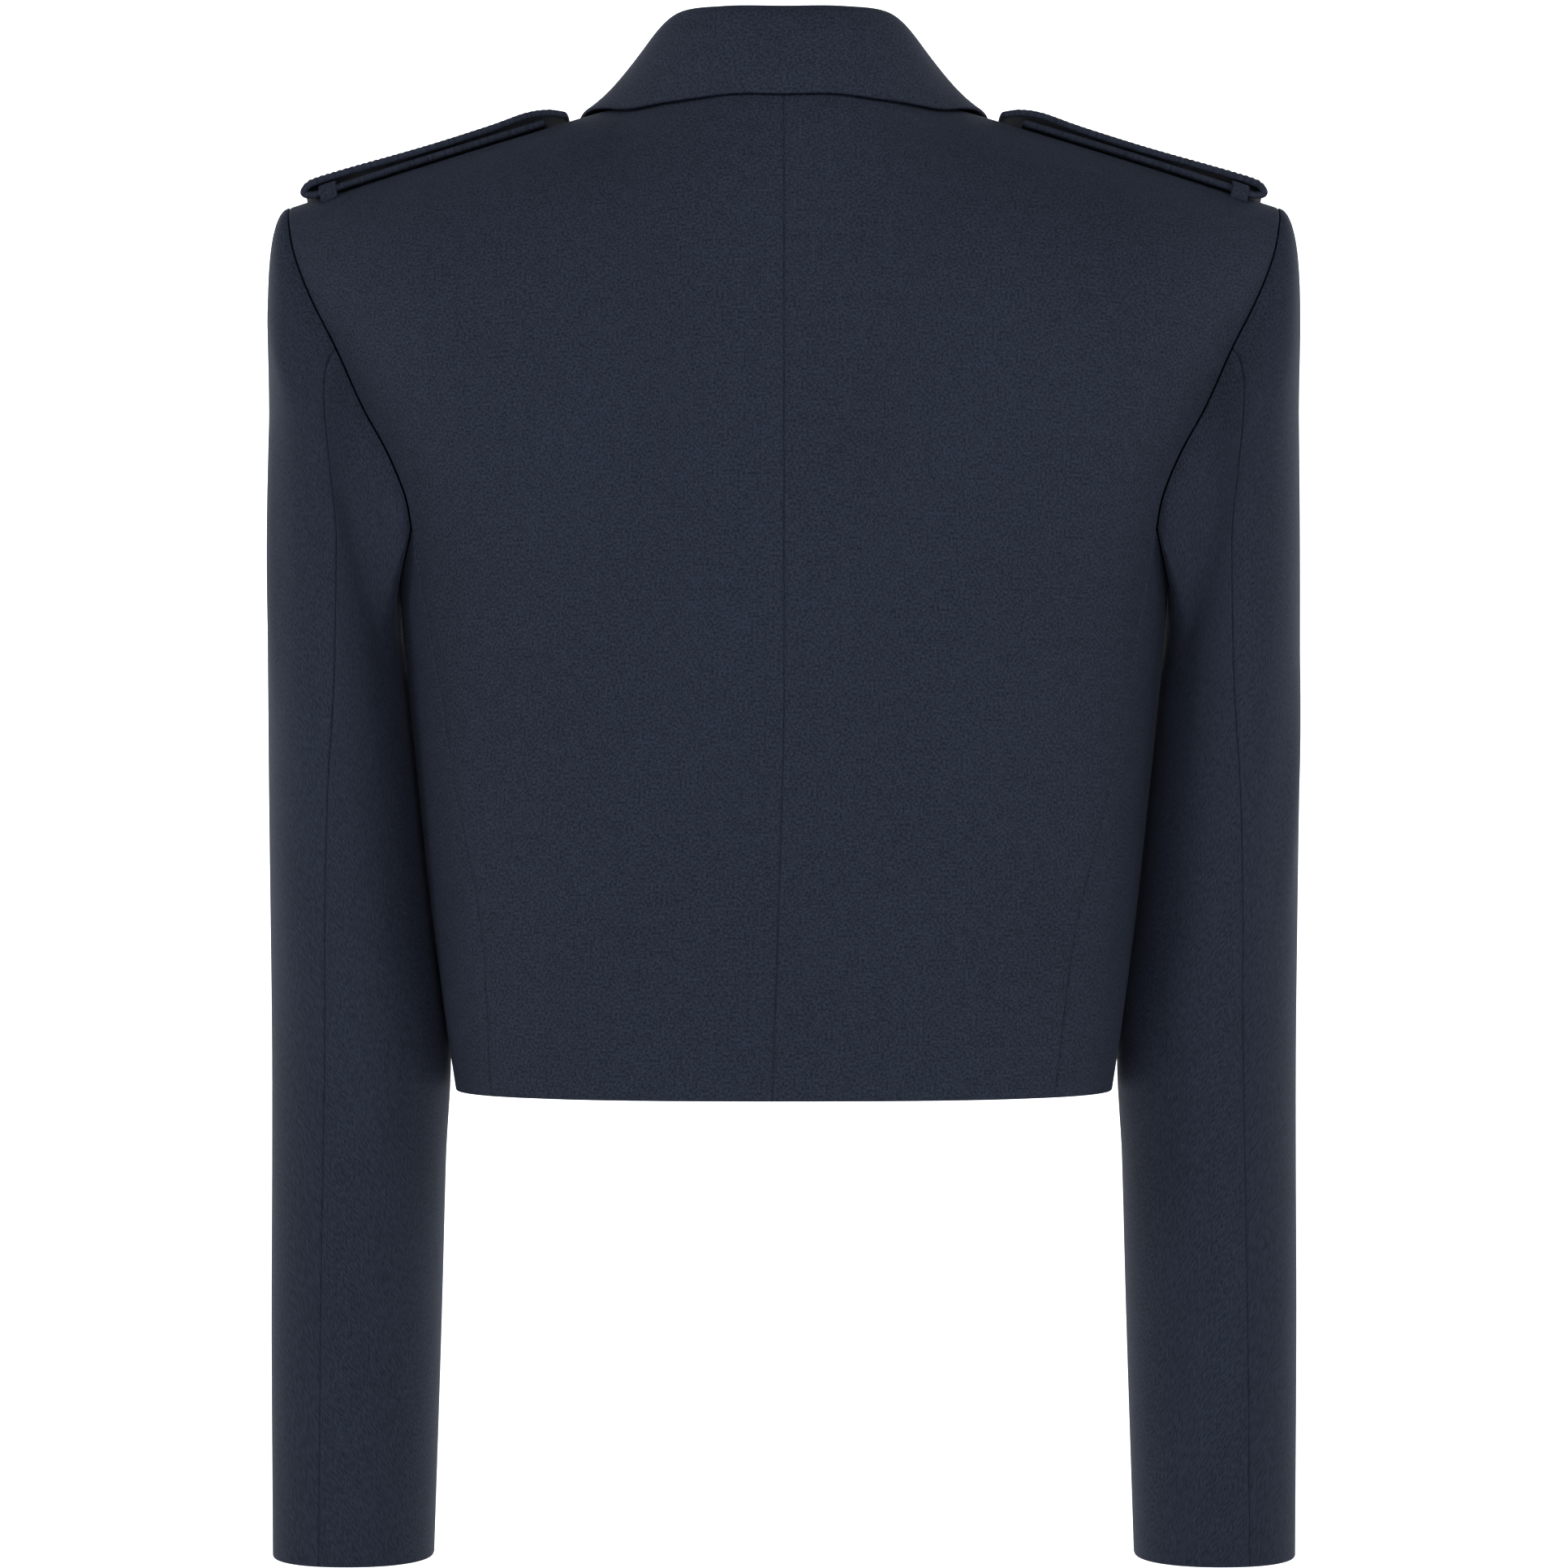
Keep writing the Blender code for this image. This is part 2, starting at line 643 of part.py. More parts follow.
def sleeve_line(start, normal, turn, elbow_here):
    """One line of the sleeve, from the armhole over the sleeve head and down to the cuff."""
    outward = (1 + math.cos(math.radians(turn))) / 2
    join_z = HEAD_JOIN_Z - UNDERARM_JOIN_DROP * (1 - outward) ** 0.8
    end = tube_point(turn, join_z, elbow_here)
    below = tube_point(turn, join_z - 0.01, elbow_here)
    leave = Vector((0.12 + 0.88 * outward ** 1.5, 0.35 * math.sin(math.radians(turn)), -1 + 0.85 * outward))
    leave.normalize()
    begin = start + leave * SEAM_GAP + normal * SEAM_GAP * (1 - outward)
    reach = (end - begin).length
    first = leave * reach * (0.9 - 0.5 * outward)
    last = (below - end).normalized() * reach * 0.9
    line = []
    for step in range(HEAD_STEPS + 1):
        t = (step / HEAD_STEPS) ** 1.4
        line.append(
            begin * (2 * t ** 3 - 3 * t ** 2 + 1)
            + first * (t ** 3 - 2 * t ** 2 + t)
            + end * (3 * t ** 2 - 2 * t ** 3)
            + last * (t ** 3 - t ** 2)
        )
    for level in TUBE_LEVELS:
        line.append(tube_point(turn, join_z + (CUFF_Z - join_z) * level, elbow_here))
    return line


def sleeve_faces():
    """The outer and inner faces of a whole left sleeve, a column for each point of the armhole."""
    ring = armhole_ring()
    turns = [arm_turn(point) for point, _ in ring]
    turns[0], turns[-1] = 0.0, 360.0
    elbow_here = turns[len(ARMHOLE["back_z"]) - 1 - ELBOW_SAMPLE]
    columns = [sleeve_line(p, n, turn, elbow_here) for (p, n), turn in zip(ring, turns)]
    outer = np.array(columns).transpose(1, 0, 2)
    wrapped = np.concatenate((outer[:, -2:-1], outer, outer[:, 1:2]), axis=1)
    along = wrapped[:, 2:] - wrapped[:, :-2]
    up = np.gradient(outer, axis=0)
    normals = np.cross(along, up)
    normals /= np.linalg.norm(normals, axis=2, keepdims=True)
    return outer, outer + normals * WALL


def make_sleeve(upper_name, under_name, hand):
    faces = [face * np.array((hand, 1, 1)) for face in sleeve_faces()]
    elbow = len(ARMHOLE["back_z"]) - 1 - ELBOW_SAMPLE
    foreseam = len(ARMHOLE["back_z"]) - 1 + UNDERARM_STEPS + FORESEAM_SAMPLE
    under = [pulled(face[:, elbow:foreseam + 1], ("first", "last")) for face in faces]
    upper = [np.concatenate((face[:, foreseam:-1], face[:, :elbow + 1]), axis=1) for face in faces]
    cloth_wall(under_name, *under)
    cloth_wall(upper_name, *(pulled(face, ("first", "last")) for face in upper))


def over_shoulder(x, y, height, hand, droop=0.0):
    """A point over the shoulder at this distance behind its seam. droop 1 follows the cloth below."""
    ridge = shoulder_height(x)
    below = torso(x, over_from_depth(x, y)).z - ridge
    across = Vector((-SHOULDER_SLOPE, 0, 1)).normalized() * height
    return mirrored(Vector((x, y, ridge + below * droop)) + across, hand)


def strap_profile():
    """The closed side outline of the folded strap as (x, height) pairs: lower layer, fold, upper layer."""
    low = STRAP_REST
    lower_x = np.linspace(STRAP_LOWER_START_X, STRAP_FOLD_X, STRAP_LOWER_STEPS)
    outside = [(x, low) for x in lower_x]
    inside = [(x, low + STRAP_WALL) for x in lower_x]
    top_low, top_high = STRAP_UPPER["low"][-1], STRAP_UPPER["high"][-1]
    middle = (low + top_high) / 2
    inner_half = (top_low - low - STRAP_WALL) / 2
    for degrees in (-45, 0, 45):
        angle = math.radians(degrees)
        reach = STRAP_FOLD_REACH * math.cos(angle)
        outside.append((STRAP_FOLD_X + reach, middle + (middle - low) * math.sin(angle)))
        reach = (STRAP_FOLD_REACH - STRAP_WALL) * math.cos(angle)
        inside.append((STRAP_FOLD_X + reach, middle + inner_half * math.sin(angle)))
    upper = list(zip(STRAP_UPPER["x"], STRAP_UPPER["low"], STRAP_UPPER["high"]))[::-1]
    outside += [(x, high) for x, _, high in upper]
    inside += [(x, low_face) for x, low_face, _ in upper]
    return outside + inside[::-1]


def strap_stations():
    """Distances across the shoulder, dense enough to follow its curve."""
    return [STRAP_WIDTH * share for share in (-0.5, -0.25, 0.0, 0.25, 0.5)]


def make_strap(name, hand):
    loops = []
    for y in strap_stations():
        loops.append([over_shoulder(x, y, height, hand, STRAP_DROOP) for x, height in strap_profile()])
    return folded_band(name, loops)


def make_loop(name, hand):
    """The keeper: a band over the strap's lower layer, with both ends down on the shoulder."""
    over_strap = STRAP_REST + STRAP_WALL + SEAM_GAP
    foot = 2 * SEAM_GAP
    inside = STRAP_WIDTH / 2 + STRAP_REST
    outside = inside + LOOP_WALL
    # Each row: distance over the shoulder inside and outside the band, height inside and outside, droop
    path = [(-inside, -outside, foot, foot, 1.0)]
    path += [(-inside, -outside, over_strap, over_strap + LOOP_WALL, STRAP_DROOP)]
    path += [(y, y, over_strap, over_strap + LOOP_WALL, STRAP_DROOP) for y in strap_stations()[1:-1]]
    path += [(inside, outside, over_strap, over_strap + LOOP_WALL, STRAP_DROOP)]
    path += [(inside, outside, foot, foot, 1.0)]
    loops = []
    for x in LOOP_X:
        under = [over_shoulder(x, near, low, hand, droop) for near, _, low, _, droop in path]
        above = [over_shoulder(x, far, high, hand, droop) for _, far, _, high, droop in path]
        loops.append(under + above[::-1])
    return folded_band(name, loops)


def make_button(name, height):
    over = over_at(0.0, height, -1)
    seat = on_torso(0.0, over, SEAM_GAP)
    axis = torso_normal(0.0, over)
    side = Vector((1, 0, 0))
    up = axis.cross(side).normalized()
    loops = []
    for radius_share, height_share in zip(BUTTON_SECTION["radius_share"], BUTTON_SECTION["height_share"]):
        loop = []
        for k in range(BUTTON_SIDES):
            angle = 2 * math.pi * k / BUTTON_SIDES
            reach = BUTTON_RADIUS * radius_share
            across = side * math.cos(angle) * reach + up * math.sin(angle) * reach
            loop.append(seat + across + axis * BUTTON_THICKNESS * height_share)
        loops.append(loop)
    solid, rings = lofted(loops)
    solid.faces.new(rings[0])
    solid.faces.new(rings[-1])
    return finish(name, solid, NAVY_BUTTON, 0.45)


def main():
    clear_scene()
    for label, hand in (("left", 1), ("right", -1)):
        make_back("back_" + label, hand)
        make_side("side_" + label, hand)
        make_front("front_" + label, hand)
        make_lapel("lapel_" + label, hand)
        make_sleeve("upper_sleeve_" + label, "under_sleeve_" + label, hand)
        make_strap("epaulette_" + label, hand)
        make_loop("epaulette_loop_" + label, hand)
    make_collar_stand("collar_stand")
    make_collar_fall("collar_fall")
    for number, height in enumerate(BUTTON_HEIGHTS, start=1):
        make_button(f"front_button_{number}", height)


main()
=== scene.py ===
"""A cropped, tailored wool jacket in its worn form: fine cloth, seams, straps, buttons and stage.

Metres, +Z up. The wearer faces -Y, so the back is towards +Y and the wearer's left is +X.
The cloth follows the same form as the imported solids, which it stands for.
"""

import math

import bmesh
import bpy
import numpy as np
from mathutils import Matrix, Vector


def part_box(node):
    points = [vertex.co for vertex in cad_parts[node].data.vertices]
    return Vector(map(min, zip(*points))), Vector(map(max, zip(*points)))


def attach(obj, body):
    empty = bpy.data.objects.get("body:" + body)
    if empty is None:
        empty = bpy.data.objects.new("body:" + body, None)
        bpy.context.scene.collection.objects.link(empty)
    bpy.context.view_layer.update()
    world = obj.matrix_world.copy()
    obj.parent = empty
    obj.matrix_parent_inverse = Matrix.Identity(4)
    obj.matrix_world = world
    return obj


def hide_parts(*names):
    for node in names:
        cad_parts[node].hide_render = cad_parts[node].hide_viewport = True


bl_info = {
    "name": "Cropped Tailored Jacket",
    "version": (1, 0, 0),
    "blender": (4, 5, 0),
    "location": "3D View > Sidebar > Jacket",
    "description": "Builds the cloth, straps and buttons of a cropped jacket round its solid form",
    "category": "Object",
}

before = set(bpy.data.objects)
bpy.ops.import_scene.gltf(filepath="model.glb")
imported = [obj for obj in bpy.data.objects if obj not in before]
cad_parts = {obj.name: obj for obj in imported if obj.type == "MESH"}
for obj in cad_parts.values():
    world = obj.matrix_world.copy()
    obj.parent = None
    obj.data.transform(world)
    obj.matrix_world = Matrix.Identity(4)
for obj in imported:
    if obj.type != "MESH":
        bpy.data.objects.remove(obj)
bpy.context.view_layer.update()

# The form's driving sizes, the same as the solids'
HEM_Z = -0.437
CUFF_Z = -0.652
SHOULDER_TIP_X = 0.2219
NECK_X = 0.0745
SHOULDER_SLOPE = -0.312
SHOULDER_LEVEL_X = 0.0915
NECK_SOFTNESS = 0.030
NECK_RISE = 0.035
NECK_RISE_REACH = 0.075
SEAM_SWING = 0.0052
SWING_START_Z = -0.270
UNDERARM_DROP = 0.024
FRONT_OVERLAP = 0.012
UNDERLAP_REACH = 0.075

# Cloth, gaps and edges
WALL = 0.0020
COLLAR_WALL = 0.0018
LAPEL_WALL = 0.0015
STRAP_WALL = 0.0030
LOOP_WALL = 0.0015
SEAM_GAP = 0.0003
COLLAR_REST = 0.0012
LAPEL_REST = 0.0010
UNDERLAP_SINK = WALL + LAPEL_WALL + LAPEL_REST + 2 * SEAM_GAP
FOLD_CLEARANCE = 0.0042
STAND_INSET = 0.0014
SEAM_DEPTH = 0.0007
SEAM_REACH = 0.0014
ROLL_RADIUS = 0.0022
FREE_EDGES = {"first": "free", "last": "free", "bottom": "free", "top": "free"}

# Cross-section: how square a ring is, and how the shoulders round over, behind and in front
BACK_ROUNDNESS = 2.5
FRONT_ROUNDNESS = 2.3
BACK_DOME_Z = -0.150
FRONT_DOME_Z = -0.220
SLEEVE_ROUNDNESS = 2.2


def table(columns, *rows):
    """The named columns of a small table, in the order of its rows."""
    values = np.array(rows, dtype=float)
    return {name: values[:, index] for index, name in enumerate(columns.split())}


BODY = table(
    "z half_width back_depth front_depth",
    (-0.437, 0.1470, 0.0960, 0.0980),
    (-0.414, 0.1505, 0.0975, 0.1010),
    (-0.360, 0.1575, 0.1010, 0.1090),
    (-0.300, 0.1640, 0.1060, 0.1180),
    (-0.240, 0.1700, 0.1110, 0.1230),
    (-0.190, 0.1755, 0.1145, 0.1220),
    (-0.150, 0.1890, 0.1160, 0.1190),
    (-0.110, 0.2090, 0.1160, 0.1160),
    (-0.080, 0.2260, 0.1160, 0.1150),
    (-0.040, 0.2400, 0.1160, 0.1150),
    (0.070, 0.2450, 0.1160, 0.1150),
)
SIDE_SEAMS = table(
    "z back_x front_x",
    (-0.437, 0.1235, 0.1180),
    (-0.414, 0.1252, 0.1215),
    (-0.360, 0.1305, 0.1300),
    (-0.300, 0.1437, 0.1405),
    (-0.260, 0.1505, 0.1485),
    (-0.220, 0.1577, 0.1570),
    (-0.188, 0.1635, 0.1645),
)
ARMHOLE = table(
    "back_z back_x front_z front_x",
    (-0.1880, 0.1635, -0.1880, 0.1645),
    (-0.1735, 0.1662, -0.1650, 0.1645),
    (-0.1543, 0.1742, -0.1420, 0.1675),
    (-0.1342, 0.1854, -0.1200, 0.1745),
    (-0.1089, 0.1969, -0.0980, 0.1850),
    (-0.0869, 0.2082, -0.0790, 0.1970),
    (-0.0670, 0.2165, -0.0620, 0.2080),
    (-0.0500, 0.2207, -0.0490, 0.2170),
    (-0.0412, 0.2219, -0.0412, 0.2219),
)
ELBOW_SAMPLE = 4
FORESEAM_SAMPLE = 1
UNDERARM_STEPS = 4
FRONT_EDGE = table(
    "z x",
    (-0.437, 0.006),
    (-0.428, -0.008),
    (-0.410, -0.012),
    (-0.360, -0.012),
    (-0.310, -0.012),
    (-0.262, -0.012),
    (-0.238, -0.0105),
    (-0.190, 0.0090),
    (-0.150, 0.0255),
    (-0.112, 0.0410),
    (-0.078, 0.0540),
)
COLLAR = table(
    "neck_x neck_z fold_x fold_y fold_z edge_x edge_z bulge",
    (0.0000, 0.0100, 0.0000, 0.0680, 0.0397, 0.0000, -0.0020, 0.0050),
    (0.0285, 0.0095, 0.0260, 0.0640, 0.0402, 0.0330, -0.0022, 0.0050),
    (0.0527, 0.0055, 0.0470, 0.0470, 0.0395, 0.0590, -0.0038, 0.0040),
    (0.0688, 0.0035, 0.0585, 0.0240, 0.0300, 0.0795, -0.0022, 0.0015),
    (0.0745, 0.0035, 0.0610, 0.0000, 0.0190, 0.0895, 0.0000, 0.0000),
    (0.0735, -0.0060, 0.0620, -0.0400, 0.0030, 0.0960, -0.0140, 0.0010),
    (0.0680, -0.0300, 0.0605, -0.0720, -0.0300, 0.1000, -0.0350, 0.0020),
    (0.0600, -0.0620, 0.0560, -0.0945, -0.0670, 0.0990, -0.0580, 0.0020),
)
SHOULDER_TURN = 4
LAPEL = table(
    "roll_x roll_z outer_x outer_z",
    (-0.0085, -0.2340, -0.0050, -0.2360),
    (0.0055, -0.1990, 0.0240, -0.2060),
    (0.0165, -0.1710, 0.0470, -0.1760),
    (0.0270, -0.1450, 0.0670, -0.1500),
    (0.0365, -0.1210, 0.0840, -0.1260),
    (0.0455, -0.0980, 0.0965, -0.1030),
    (0.0540, -0.0740, 0.1030, -0.0800),
)
SLEEVE = table(
    "z inner_x outer_x middle_y half_depth elbow_turn",
    (-0.652, 0.1600, 0.2333, -0.0380, 0.0420, 72),
    (-0.532, 0.1555, 0.2327, -0.0270, 0.0480, 73),
    (-0.470, 0.1535, 0.2318, -0.0210, 0.0520, 74),
    (-0.414, 0.1511, 0.2312, -0.0150, 0.0560, 75),
    (-0.360, 0.1582, 0.2312, -0.0100, 0.0595, 80),
    (-0.303, 0.1643, 0.2314, -0.0060, 0.0630, 87),
    (-0.240, 0.1704, 0.2314, -0.0030, 0.0650, 97),
    (-0.190, 0.1722, 0.2312, -0.0010, 0.0630, 100),
    (-0.130, 0.1700, 0.2307, 0.0000, 0.0600, 100),
)
FORESEAM_TURN = 235
FORESEAM_UNDER = 360 - 228
ARM_HALF_DEPTH = 0.057
ARM_RADIUS = 0.045
HEAD_JOIN_Z = -0.135
UNDERARM_JOIN_DROP = 0.125
STRAP_UPPER = table(
    "x low high",
    (0.0955, 0.0006, 0.0036),
    (0.1030, 0.0040, 0.0070),
    (0.1130, 0.0056, 0.0086),
    (0.1300, 0.0048, 0.0078),
    (0.1600, 0.0046, 0.0076),
    (0.1950, 0.0057, 0.0087),
    (0.2070, 0.0059, 0.0089),
)
STRAP_LOWER_START_X = 0.1060
STRAP_FOLD_X = 0.2070
STRAP_FOLD_REACH = 0.0072
STRAP_REST = 0.0004
STRAP_WIDTH = 0.042
STRAP_DROOP = 0.5
LOOP_X = (0.1985, 0.2060)
LOOP_BEND = 0.0014
STITCH_INSET = 0.0060
STITCH_PITCH = 0.0028
STITCH_LENGTH = 0.0022
STITCH_THICKNESS = 0.00042
BUTTON_HEIGHTS = (-0.268, -0.352)
BUTTON_THICKNESS = 0.003
HOLE_RADIUS = 0.0008
HOLE_SPREAD = 0.0015

# Wool weave
TWILL_PITCH = 0.0011
YARN_PITCH = 0.0006

# Studio
FLOOR_RADIUS = 4.5
FLOOR_CURVE = 1.5
WALL_RISE = 2.5

WIDE_STEP = 1e-4
OVER_STEP = 1e-3


def read(rows, column, value, key="z"):
    """A smooth curve through one column of a table, read where the key column has these values."""
    order = np.argsort(rows[key])
    keys = rows[key][order]
    values = rows[column][order]
    value = np.clip(value, keys[0], keys[-1])
    slopes = np.gradient(values, keys)
    index = np.clip(np.searchsorted(keys, value, side="right"), 1, len(keys) - 1) - 1
    step = keys[index + 1] - keys[index]
    part = (value - keys[index]) / step
    rise = values[index + 1] - values[index]
    first, last = slopes[index] * step, slopes[index + 1] * step
    bend = 3 * rise - 2 * first - last + part * (first + last - 2 * rise)
    return values[index] + part * (first + part * bend)


def eased(value):
    """0 below 0, 1 above 1 and an even S between."""
    value = np.clip(value, 0.0, 1.0)
    return value * value * (3 - 2 * value)


def powered(value, power):
    return np.sign(value) * np.abs(value) ** power


def unit(vectors):
    return vectors / np.maximum(np.linalg.norm(vectors, axis=-1, keepdims=True), 1e-12)


def shoulder_height(x):
    rise = NECK_RISE * np.maximum(0.0, 1 - (x / NECK_RISE_REACH) ** 2) ** 2
    return SHOULDER_SLOPE * (np.hypot(x, NECK_SOFTNESS) - SHOULDER_LEVEL_X) + rise


def torso(x, over):
    """Points of the torso's outer face. over is -1 at the back hem, 1 on the shoulder, 3 in front."""
    x, over = np.broadcast_arrays(np.asarray(x, float), np.asarray(over, float))
    behind = over <= 1
    rise = np.where(behind, over, 2 - over)
    start = np.where(behind, BACK_DOME_Z, FRONT_DOME_Z)
    roundness = np.where(behind, BACK_ROUNDNESS, FRONT_ROUNDNESS)
    angle = np.maximum(rise, 0) * math.pi / 2
    low = start + rise * (start - HEM_Z)
    high = start + (shoulder_height(x) - start) * np.sin(angle)
    z = np.where(rise <= 0, low, high)
    half = read(BODY, "half_width", z)
    across = np.maximum(0.0, 1 - (np.abs(x) / half) ** roundness) ** (1 / roundness)
    depth = np.where(behind, read(BODY, "back_depth", z), -read(BODY, "front_depth", z))
    return np.stack((x, depth * across * np.cos(angle), z), axis=-1)


def over_at(x, z, side):
    """The way up the torso at which its back or front face has these heights."""
    start = BACK_DOME_Z if side > 0 else FRONT_DOME_Z
    share = np.clip((z - start) / (shoulder_height(x) - start), 0, 1)
    high = np.arcsin(share) / (math.pi / 2)
    rise = np.where(z <= start, (z - start) / (start - HEM_Z), high)
    return rise if side > 0 else 2 - rise


def torso_normal(x, over):
    along = torso(x + WIDE_STEP, over) - torso(x - WIDE_STEP, over)
    up = torso(x, over + OVER_STEP) - torso(x, over - OVER_STEP)
    return unit(np.cross(along, -up))


def ring_point(angle, z):
    """Points of the torso below the armhole by their angle, 0 at the side and positive behind."""
    angle, z = np.broadcast_arrays(np.asarray(angle, float), np.asarray(z, float))
    behind = angle >= 0
    roundness = np.where(behind, BACK_ROUNDNESS, FRONT_ROUNDNESS)
    start = np.where(behind, BACK_DOME_Z, FRONT_DOME_Z)
    x = read(BODY, "half_width", z) * np.abs(np.cos(angle)) ** (2 / roundness)
    depth = np.where(behind, read(BODY, "back_depth", z), read(BODY, "front_depth", z))
    share = np.clip((z - start) / (shoulder_height(x) - start), 0, 1)
    y = depth * powered(np.sin(angle), 2 / roundness) * np.sqrt(1 - share**2)
    return np.stack((x, y, z), axis=-1)


def ring_normal(angle, z):
    around = ring_point(angle + OVER_STEP, z) - ring_point(angle - OVER_STEP, z)
    up = ring_point(angle, z + WIDE_STEP) - ring_point(angle, z - WIDE_STEP)
    return unit(np.cross(around, up))


def ring_angle(x, z, side):
    roundness = BACK_ROUNDNESS if side > 0 else FRONT_ROUNDNESS
    return side * np.arccos((x / read(BODY, "half_width", z)) ** (roundness / 2))


def swing(z):
    """How far the back's seams swing to the wearer's left as they near the hem."""
    return SEAM_SWING * np.maximum(0.0, (SWING_START_Z - z) / (SWING_START_Z - HEM_Z)) ** 1.2


def side_seam(z, side, hand):
    """The half width of a side seam. The back ones swing with the centre seam."""
    if side > 0:
        return read(SIDE_SEAMS, "back_x", z) + hand * swing(z)
    return read(SIDE_SEAMS, "front_x", z)


def smooth_at(points, places, corners=()):
    """Points of a smooth line at places counted in its own points, with a corner at each listed one."""
    points = np.array(points, dtype=float)
    places = np.asarray(places, dtype=float)
    found = np.empty((len(places), points.shape[1]))
    stops = [0, *corners, len(points) - 1]
    for first, last in zip(stops, stops[1:]):
        inside = (places >= first) & (places <= last)
        rows = {"place": np.arange(first, last + 1, dtype=float)}
        for axis in range(points.shape[1]):
            rows["value"] = points[first:last + 1, axis]
            found[inside, axis] = read(rows, "value", places[inside], key="place")
    return found


def graded(length, step, corners=()):
    """Shares from 0 to 1 along a length, close together near both ends and at each corner."""
    near = np.array([0.0, 0.15, 0.40, 0.80, 1.40, 2.20]) / 1000
    shares = [near / length, 1 - near / length]
    for corner in corners:
        shares += [corner - near / length, corner + near / length]
    stops = sorted([0.0, 1.0, *corners])
    for first, last in zip(stops, stops[1:]):
        margin = 0.003 / length
        count = max(2, round((last - first - 2 * margin) * length / step) + 1)
        shares.append(np.linspace(first + margin, last - margin, count))
    return np.unique(np.round(np.clip(np.concatenate(shares), 0, 1), 7))


def gaps_along(grid, axis):
    """The distance of each grid point from the grid's first row or column, along the other."""
    steps = np.linalg.norm(np.diff(grid, axis=axis), axis=2)
    before = np.zeros_like(np.take(steps, [0], axis=axis))
    return np.concatenate((before, np.cumsum(steps, axis=axis)), axis=axis)


def grid_normals(grid, wrapped=False):
    """The normal at each point of a grid, along × up. A wrapped grid's last column meets its first."""
    if wrapped:
        ends = np.concatenate((grid[:, -2:-1], grid, grid[:, 1:2]), axis=1)
        along = ends[:, 2:] - ends[:, :-2]
    else:
        along = np.gradient(grid, axis=1)
    up = np.gradient(grid, axis=0)
    return unit(np.cross(along, up))


def edge_drops(distance, kind, wall):
    """How far the outer and the inner face draw in near one edge of a cloth piece.

    A butted edge stays square, a seam dips, a roll rounds one face and a free edge rounds both."""
    if kind == "butted":
        return 0 * distance, 0 * distance
    if kind == "seam":
        drop = SEAM_DEPTH * np.clip(1 - distance / SEAM_REACH, 0, 1) ** 2.2
        return drop, 0 * distance
    if kind == "roll":
        inside = np.clip(ROLL_RADIUS - distance, 0, ROLL_RADIUS)
        return ROLL_RADIUS - np.sqrt(ROLL_RADIUS**2 - inside**2), 0 * distance
    radius = wall / 2
    inside = np.clip(radius - distance, 0, radius)
    drop = radius - np.sqrt(radius**2 - inside**2)
    return drop * 0.96, drop * 0.96


def cloth_object(node, outer, normals, wall, edges, uv_shift):
    """A closed wall of cloth: an outer face, an inner face one wall inside it, and shaped edges.

    edges names the kind of each edge: first and last column, bottom and top row."""
    name = node + "_cloth"
    down = gaps_along(outer, 0)
    side = gaps_along(outer, 1)
    distances = {
        "bottom": down,
        "top": down[-1:] - down,
        "first": side,
        "last": side[:, -1:] - side,
    }
    outer_drop = np.zeros(down.shape)
    inner_drop = np.zeros(down.shape)
    for edge, kind in edges.items():
        drops = edge_drops(distances[edge], kind, wall)
        outer_drop = np.maximum(outer_drop, drops[0])
        inner_drop = np.maximum(inner_drop, drops[1])
    outer_face = outer - normals * outer_drop[..., None]
    inner_face = outer - normals * (wall - inner_drop)[..., None]
    rows, columns = down.shape
    points = np.concatenate((outer_face.reshape(-1, 3), inner_face.reshape(-1, 3)))
    uvs = np.stack((side, down), axis=-1).reshape(-1, 2) + uv_shift
    index = np.arange(rows * columns).reshape(rows, columns)
    quads = np.stack((index[:-1, :-1], index[:-1, 1:], index[1:, 1:], index[1:, :-1]), axis=-1)
    quads = quads.reshape(-1, 4)
    total = rows * columns
    rim = np.concatenate((index[0, :], index[1:, -1], index[-1, -2::-1], index[-2:0:-1, 0]))
    after = np.roll(rim, -1)
    sides = np.stack((after, rim, rim + total, after + total), axis=-1)
    faces = np.concatenate((quads, quads[:, ::-1] + total, sides))
    mesh = bpy.data.meshes.new(name)
    mesh.from_pydata(points.tolist(), [], faces.tolist())
    layer = mesh.uv_layers.new(name="cloth")
    corners = np.empty(len(mesh.loops), dtype=np.int32)
    mesh.loops.foreach_get("vertex_index", corners)
    layer.data.foreach_set("uv", np.concatenate((uvs, uvs))[corners].ravel().astype(np.float32))
    solid = bmesh.new()
    solid.from_mesh(mesh)
    if solid.calc_volume(signed=True) < 0:
        bmesh.ops.reverse_faces(solid, faces=solid.faces)
    solid.to_mesh(mesh)
    solid.free()
    mesh.shade_smooth()
    mesh.set_sharp_from_angle(angle=math.radians(55))
    mesh.materials.append(bpy.data.materials["navy wool"])
    piece = bpy.data.objects.new(name, mesh)
    bpy.context.scene.collection.objects.link(piece)
    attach(piece, "root")
    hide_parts(node)
    return piece


def turned(grid, hand):
    """The left-hand grid, or its mirror image for the right."""
    return grid * np.array((hand, 1, 1))


def outward(grid, normals, middle=(0.0, 0.0, -0.2)):
    """The normals, all turned round if they point to the middle of the piece's hollow."""
    facing = ((grid - np.array(middle)) * normals).sum()
    return normals * math.copysign(1, facing)


